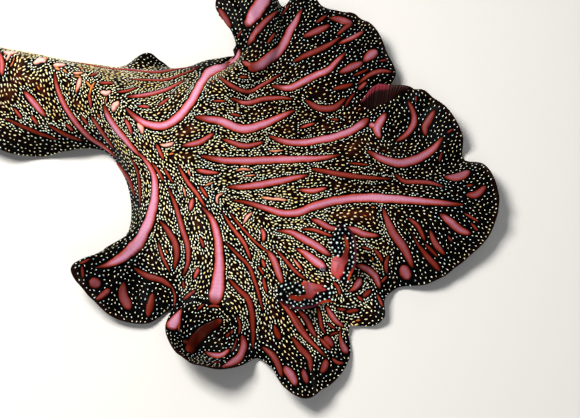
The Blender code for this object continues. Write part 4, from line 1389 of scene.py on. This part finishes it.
tentacleColours = {
    "black": (0.0020, 0.0016, 0.0026),
    "pink": (0.64, 0.19, 0.22),
    "red": (0.44, 0.042, 0.036),
    "orange": (0.40, 0.036, 0.010),
    "deepRed": (0.20, 0.016, 0.010),
    "maroon": (0.060, 0.010, 0.016),
}


def paintTentacle(side, u, across):
    # black, with a maroon outer edge that is orange at the root, and a red inner face with a pale middle,
    # partly its own colour and partly a painted highlight, and a dark red line of painted shade where it
    # folds
    colour = {name: np.array(value) for name, value in tentacleColours.items()}

    def layer(base, top, share):
        return base * (1 - share)[:, None] + top * share[:, None]

    painted = np.tile(colour["black"], (len(u), 1))
    edge = smoothStep(-0.60, -0.78, across) * smoothStep(0.06, 0.16, u) * smoothStep(0.74, 0.62, u)
    painted = layer(painted, colour["maroon"], edge)
    painted = layer(painted, colour["orange"], edge * smoothStep(0.34, 0.22, u))
    root = tentacles["faceStart"][side] + 0.03 * np.sin(9 * across)
    root = root + tentacles["faceRound"][side] * (1 - across) ** 2
    inner = smoothStep(0.05, 0.16, across + 0.05 * np.sin(40 * u)) * smoothStep(root - 0.03, root + 0.02, u)
    inner = inner * smoothStep(0.67, 0.60, u)
    painted = layer(painted, colour["red"], inner)
    # pale pink middle: partly the face's own colour, partly a painted highlight
    middle = np.exp(-((across - 0.66) / 0.34) ** 2 - ((u - tentacles["facePaleAndHighlight"][side]) / 0.09) ** 2)
    painted = layer(painted, colour["pink"], inner * middle)
    painted = layer(painted, colour["orange"], inner * smoothStep(0.34, 0.44, u) * 0.8)
    # painted shade: a dark red line down the face where it folds
    foldShade = np.exp(-((across - 0.50) / 0.10) ** 2) * smoothStep(0.33, 0.24, u) * smoothStep(0.14, 0.20, u)
    return layer(painted, colour["deepRed"], inner * foldShade * 0.6)


def makeTentacle(side):
    leaf = unitSlab(tentacles["names"][side] + "_skin", tentacles["columns"], tentacles["rows"])
    unit = pointsOf(leaf)
    u, v, below = unit[:, 0], unit[:, 1], -unit[:, 2]
    setPoints(leaf, restOnHead(crook(side, u, v, below), u, below))
    finishShell(leaf)
    underneath = np.tile(np.array(tentacleColours["maroon"]), (len(u), 1))
    painted = np.where((below > 0.5)[:, None], underneath, paintTentacle(side, u, 1 - 2 * v))
    setColours(leaf, "tone", painted)
    return leaf


def dotTentacle(side, pile):
    kept = []
    for _ in range(tentacles["dotTries"]):
        u, v = chance.random(2)
        redness = paintTentacle(side, np.array([u]), np.array([1 - 2 * v]))[0, 0]
        if redness > tentacles["reddest"] or not 0.03 < u < 0.98:
            continue
        near = np.array([(u, v), (u + 0.01, v), (u, v + 0.03)])
        found = restOnHead(crook(side, near[:, 0], near[:, 1], np.zeros(3)), near[:, 0], np.zeros(3))
        place = found[0]
        if any(np.linalg.norm(place - other) < tentacles["dotStep"] for other in kept):
            continue
        kept.append(place)
        along = oneLong(found[1] - place)
        normal = oneLong(np.cross(found[2] - place, along) * side)
        normal = normal if normal @ tentacles["facing"] >= 0 else -normal
        half = tentacles["dotHalf"] * chance.uniform(0.75, 1.25)
        unit = dotShape["points"]
        wide = half * (1 + 0.13 * np.sin(2 * np.arctan2(unit[:, 1:2], unit[:, :1]) + 50 * u))
        points = dotPoints(place, along, np.cross(normal, along), normal,
                           wide * tentacles["dotAspect"], wide, dots["height"])
        bake = np.array([[0.02 + 0.2 * u + (0.3 if side > 0 else 0.0), 0.955 + 0.04 * v]])
        bake = bake + unit[:, :2] * dots["patch"]
        addCopy(pile, dotShape, points, tint=chance.uniform(0.0, 0.14), bakePlace=bake)


tentaclePieces = {side: makeTentacle(side) for side in (1, -1)}
dotPiles["dotsHead"] = newPile()
for side in (1, -1):
    dotTentacle(side, dotPiles["dotsHead"])
print("pseudotentacles made")

# The black ground, which turns maroon between the stripes, and the lower side
ground = {
    "gap": (0.35, 2.2),      # mm from a stripe's edge
    "out": (0.97, 0.60),     # shares of the way from the back to the rim
    "cloudLength": 16.0,
    "edge": (0.997, 1.0),
    "warmColours": ((0.0, (0.0012, 0.0009, 0.0010)), (0.45, (0.009, 0.0022, 0.0016)),
                    (1.0, (0.060, 0.011, 0.006))),
    "rayColours": ((0.040, 0.008, 0.008), (0.10, 0.020, 0.016)),
    "rayTurn": 9.0,          # radians for each mm of the rim
    "underRim": ((0.80, (0, 0, 0)), (0.90, (1, 1, 1))),      # how far out the lower side's dark rim begins
    "underRimColour": (0.008, 0.004, 0.004),
    "edgeColour": (0.012, 0.004, 0.003),
}


def paintSkin():
    # warmth turns the ground maroon, under marks the lower side, rays run along the rim
    t = np.abs(rowPlaces[skinRow])
    s = columnPlaces[skinColumn]
    upperSide = np.flatnonzero(skinBelow < 0.5)
    gap = np.array([toStripe(skinPoints[number])[0] for number in upperSide])
    warmth = np.zeros(len(skinPoints))
    warmth[upperSide] = smoothStep(*ground["gap"], gap) * smoothStep(*ground["out"], t[upperSide])
    warmth[upperSide] *= 0.75 + 0.5 * slowNoise(skinPoints[upperSide], ground["cloudLength"], 4.0)
    setValues(skin, "warmth", np.clip(warmth, 0, 1))
    setValues(skin, "under", skinBelow)
    setValues(skin, "rays", np.where(rowPlaces[skinRow] >= 0, rimDistance(1, s), rimDistance(-1, s)))
    setValues(skin, "outward", t)
    setValues(skin, "edge", smoothStep(*ground["edge"], t))
    setBakePlaces(skin, planPlace(skinPoints, skinBelow))


paintSkin()


def makeEyeSpots():
    pile = newPile()
    for number in range(eyes["spots"]):
        turn = math.pi * (0.15 + 1.7 * number / (eyes["spots"] - 1))
        wide = 1.0 if number % 2 else 0.6
        pixel = (eyes["middle"][0] + wide * eyes["horseshoe"][0] * math.cos(turn),
                 eyes["middle"][1] + wide * eyes["horseshoe"][1] * math.sin(turn))
        place, normal = onSkin(seenThrough(pixel))
        along = oneLong(np.cross(normal, (0.0, 1.0, 0.0)))
        points = dotPoints(place + normal * eyes["rise"], along, np.cross(normal, along), normal,
                           eyes["half"], eyes["half"], dots["height"])
        addCopy(pile, dotShape, points, bakePlace=planPlace(points))
    return pile


def newFinish(name, roughness, specular):
    finish = bpy.data.materials.new(name)
    finish.use_nodes = True
    shaderOf(finish).inputs["Roughness"].default_value = roughness
    shaderOf(finish).inputs["Specular IOR Level"].default_value = specular
    return finish


def shaderOf(finish):
    return finish.node_tree.nodes["Principled BSDF"]


def addNode(finish, kind):
    return finish.node_tree.nodes.new("ShaderNode" + kind)


def plug(finish, value, socket):
    # a colour or number is set on the socket, another node's output is linked to it
    if isinstance(value, tuple):
        socket.default_value = (*value, 1.0)
    elif isinstance(value, (int, float)):
        socket.default_value = value
    else:
        finish.node_tree.links.new(value, socket)


def paint(finish, colour):
    plug(finish, colour, shaderOf(finish).inputs["Base Color"])


def readAttribute(finish, name, output="Fac"):
    node = addNode(finish, "Attribute")
    node.attribute_name = name
    return node.outputs[output]


def mathNode(finish, operation, *values, clamp=False):
    node = addNode(finish, "Math")
    node.operation = operation
    node.use_clamp = clamp
    for socket, value in zip(node.inputs, values):
        plug(finish, value, socket)
    return node.outputs[0]


def ramp(finish, value, stops):
    node = addNode(finish, "ValToRGB")
    while len(node.color_ramp.elements) < len(stops):
        node.color_ramp.elements.new(0.5)
    for element, (place, colour) in zip(node.color_ramp.elements, stops):
        element.position = place
        element.color = (*colour, 1.0)
    plug(finish, value, node.inputs["Fac"])
    return node.outputs["Color"]


def mixColours(finish, share, first, second, blend="MIX"):
    node = addNode(finish, "Mix")
    node.data_type = "RGBA"
    node.blend_type = blend
    for number, value in ((0, share), (6, first), (7, second)):
        plug(finish, value, node.inputs[number])
    return node.outputs[2]


def grainNode(finish, sizeMm, detail=3.0):
    # cloudy noise whose patches are about sizeMm across
    noise = addNode(finish, "TexNoise")
    noise.inputs["Scale"].default_value = 1.0 / (sizeMm * mm)
    noise.inputs["Detail"].default_value = detail
    plug(finish, addNode(finish, "TexCoord").outputs["Object"], noise.inputs["Vector"])
    return noise.outputs["Fac"]


def bumpFrom(finish, height, depthMm, strength=1.0):
    bump = addNode(finish, "Bump")
    bump.inputs["Distance"].default_value = depthMm * mm
    bump.inputs["Strength"].default_value = strength
    plug(finish, height, bump.inputs["Height"])
    plug(finish, bump.outputs["Normal"], shaderOf(finish).inputs["Normal"])


def skinFinish():
    finish = newFinish("darkMoistSkin", 0.35, 0.01)
    patchy = mathNode(finish, "MULTIPLY", grainNode(finish, 1.1), 1.9)
    warm = mathNode(finish, "MULTIPLY", readAttribute(finish, "warmth"), patchy, clamp=True)
    above = ramp(finish, warm, ground["warmColours"])
    turn = mathNode(finish, "MULTIPLY", readAttribute(finish, "rays"), ground["rayTurn"])
    rays = mathNode(finish, "MULTIPLY_ADD", mathNode(finish, "SINE", turn), 0.25, 0.5)
    maroon = mixColours(finish, rays, *ground["rayColours"])
    outward = ramp(finish, readAttribute(finish, "outward"), ground["underRim"])
    underside = mixColours(finish, outward, maroon, ground["underRimColour"])
    colour = mixColours(finish, readAttribute(finish, "under"), above, underside)
    edge = mathNode(finish, "MULTIPLY", readAttribute(finish, "edge"), 0.8)
    paint(finish, mixColours(finish, edge, colour, ground["edgeColour"]))
    bumpFrom(finish, grainNode(finish, 0.32, 4.0), 0.03, 0.6)
    return finish


def stripeFinish():
    # orange-red edge around a pink core, whose pale middle is a painted highlight. A low glow keeps the whole
    # stripe deep red, partly its own colour and partly painted shade; below 0 it paints deep shade, near
    # black
    finish = newFinish("pinkStripe", 0.36, 0.05)
    grain = grainNode(finish, 0.8)
    uneven = mathNode(finish, "MULTIPLY_ADD", grain, 0.9, 1.05)
    inward = mathNode(finish, "MULTIPLY", readAttribute(finish, "inward"), uneven)
    bright, dull = ramp(finish, inward, stripes["bright"]), ramp(finish, inward, stripes["dull"])
    glow = readAttribute(finish, "glow")
    share = mathNode(finish, "POWER", mathNode(finish, "MULTIPLY", glow, 1.0, clamp=True), 1.5)
    colour = mixColours(finish, share, dull, bright)
    # painted shade: darker towards the rim, and near black where the glow is below 0
    paintedShade = mathNode(finish, "MULTIPLY_ADD", readAttribute(finish, "dusk"), -0.35, 1.0)
    paintedShade = mathNode(finish, "MULTIPLY", paintedShade, mathNode(finish, "ADD", glow, 1.0, clamp=True))
    colour = mixColours(finish, 1.0, colour, paintedShade, "MULTIPLY")
    along = mathNode(finish, "MULTIPLY", readAttribute(finish, "along"), stripes["foldTurn"])
    ribs = mathNode(finish, "SINE", mathNode(finish, "MULTIPLY_ADD", grain, 12.0, along))
    # painted shade: the colour darkens in the grooves of the cross folds, beside the bump that shapes them
    shade = mathNode(finish, "MULTIPLY_ADD", ribs, 0.045, 0.96)
    paint(finish, mixColours(finish, 1.0, colour, shade, "MULTIPLY"))
    bumpFrom(finish, ribs, 0.008, 0.4)
    return finish


def eyePatchFinish():
    finish = newFinish("clearPatch", 0.3, 0.4)
    paint(finish, mixColours(finish, grainNode(finish, 0.3), *eyes["patchColours"]))
    return finish


def eyeFinish():
    finish = newFinish("eyeSpot", 0.2, 0.5)
    paint(finish, eyes["colour"])
    return finish


def liningFinish():
    # fine pale pleats over maroon, and the magenta band
    finish = newFinish("liningSkin", 0.4, 0.10)
    grain = grainNode(finish, 0.5)
    ridge = mathNode(finish, "POWER", readAttribute(finish, "ridge"), 3.0)
    patchy = mathNode(finish, "MULTIPLY", grain, 1.3)
    share = mathNode(finish, "MULTIPLY", ridge, patchy, clamp=True)
    colour = mixColours(finish, share, *lining["pleatColours"])
    paint(finish, mixColours(finish, readAttribute(finish, "band"), colour, lining["bandColour"]))
    bumpFrom(finish, grain, 0.02, 0.5)
    return finish


def dotFinish():
    finish = newFinish("paleDot", 0.5, 0.15)
    colour = ramp(finish, readAttribute(finish, "tint"), dots["colours"])
    shade = mathNode(finish, "MULTIPLY_ADD", grainNode(finish, 0.25, 2.0), 0.35, 0.78)
    paint(finish, mixColours(finish, 1.0, colour, shade, "MULTIPLY"))
    return finish


def blotchFinish():
    finish = newFinish("midlinePatch", 0.5, 0.15)
    grain = grainNode(finish, 0.6)
    uneven = mathNode(finish, "MULTIPLY", grain, 7.0)
    inward = mathNode(finish, "MULTIPLY", readAttribute(finish, "inward"), uneven)
    pale, orange = ramp(finish, inward, blotches["pale"]), ramp(finish, inward, blotches["orange"])
    paint(finish, mixColours(finish, readAttribute(finish, "glow"), orange, pale))
    bumpFrom(finish, grain, 0.04)
    return finish


def tentacleFinish():
    finish = newFinish("tentacleSkin", 0.30, 0.02)
    grain = grainNode(finish, 0.5)
    shade = mathNode(finish, "MULTIPLY_ADD", grain, 0.6, 0.7)
    paint(finish, mixColours(finish, 1.0, readAttribute(finish, "tone", "Color"), shade, "MULTIPLY"))
    bumpFrom(finish, grain, 0.015)
    return finish


def dress(piece, finish):
    piece.data.materials.clear()
    piece.data.materials.append(finish)
    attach(piece, "root")


bodyNodes = [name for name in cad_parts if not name.startswith("pseudotentacle")]
dress(skin, skinFinish())
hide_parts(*bodyNodes)
leafFinish = tentacleFinish()
for side, leaf in tentaclePieces.items():
    dress(leaf, leafFinish)
    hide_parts(tentacles["names"][side])
dress(pileToPiece("skinStripes", stripePile), stripeFinish())
dress(pileToPiece("midlinePatches", blotchPile), blotchFinish())
dress(turnedRim, liningFinish())
dress(pileToPiece("brainPatch", eyePile), eyePatchFinish())
dress(pileToPiece("eyeSpots", makeEyeSpots()), eyeFinish())
paleFinish = dotFinish()
for name, pile in dotPiles.items():
    dress(pileToPiece(name, pile), paleFinish)
print("pieces dressed")
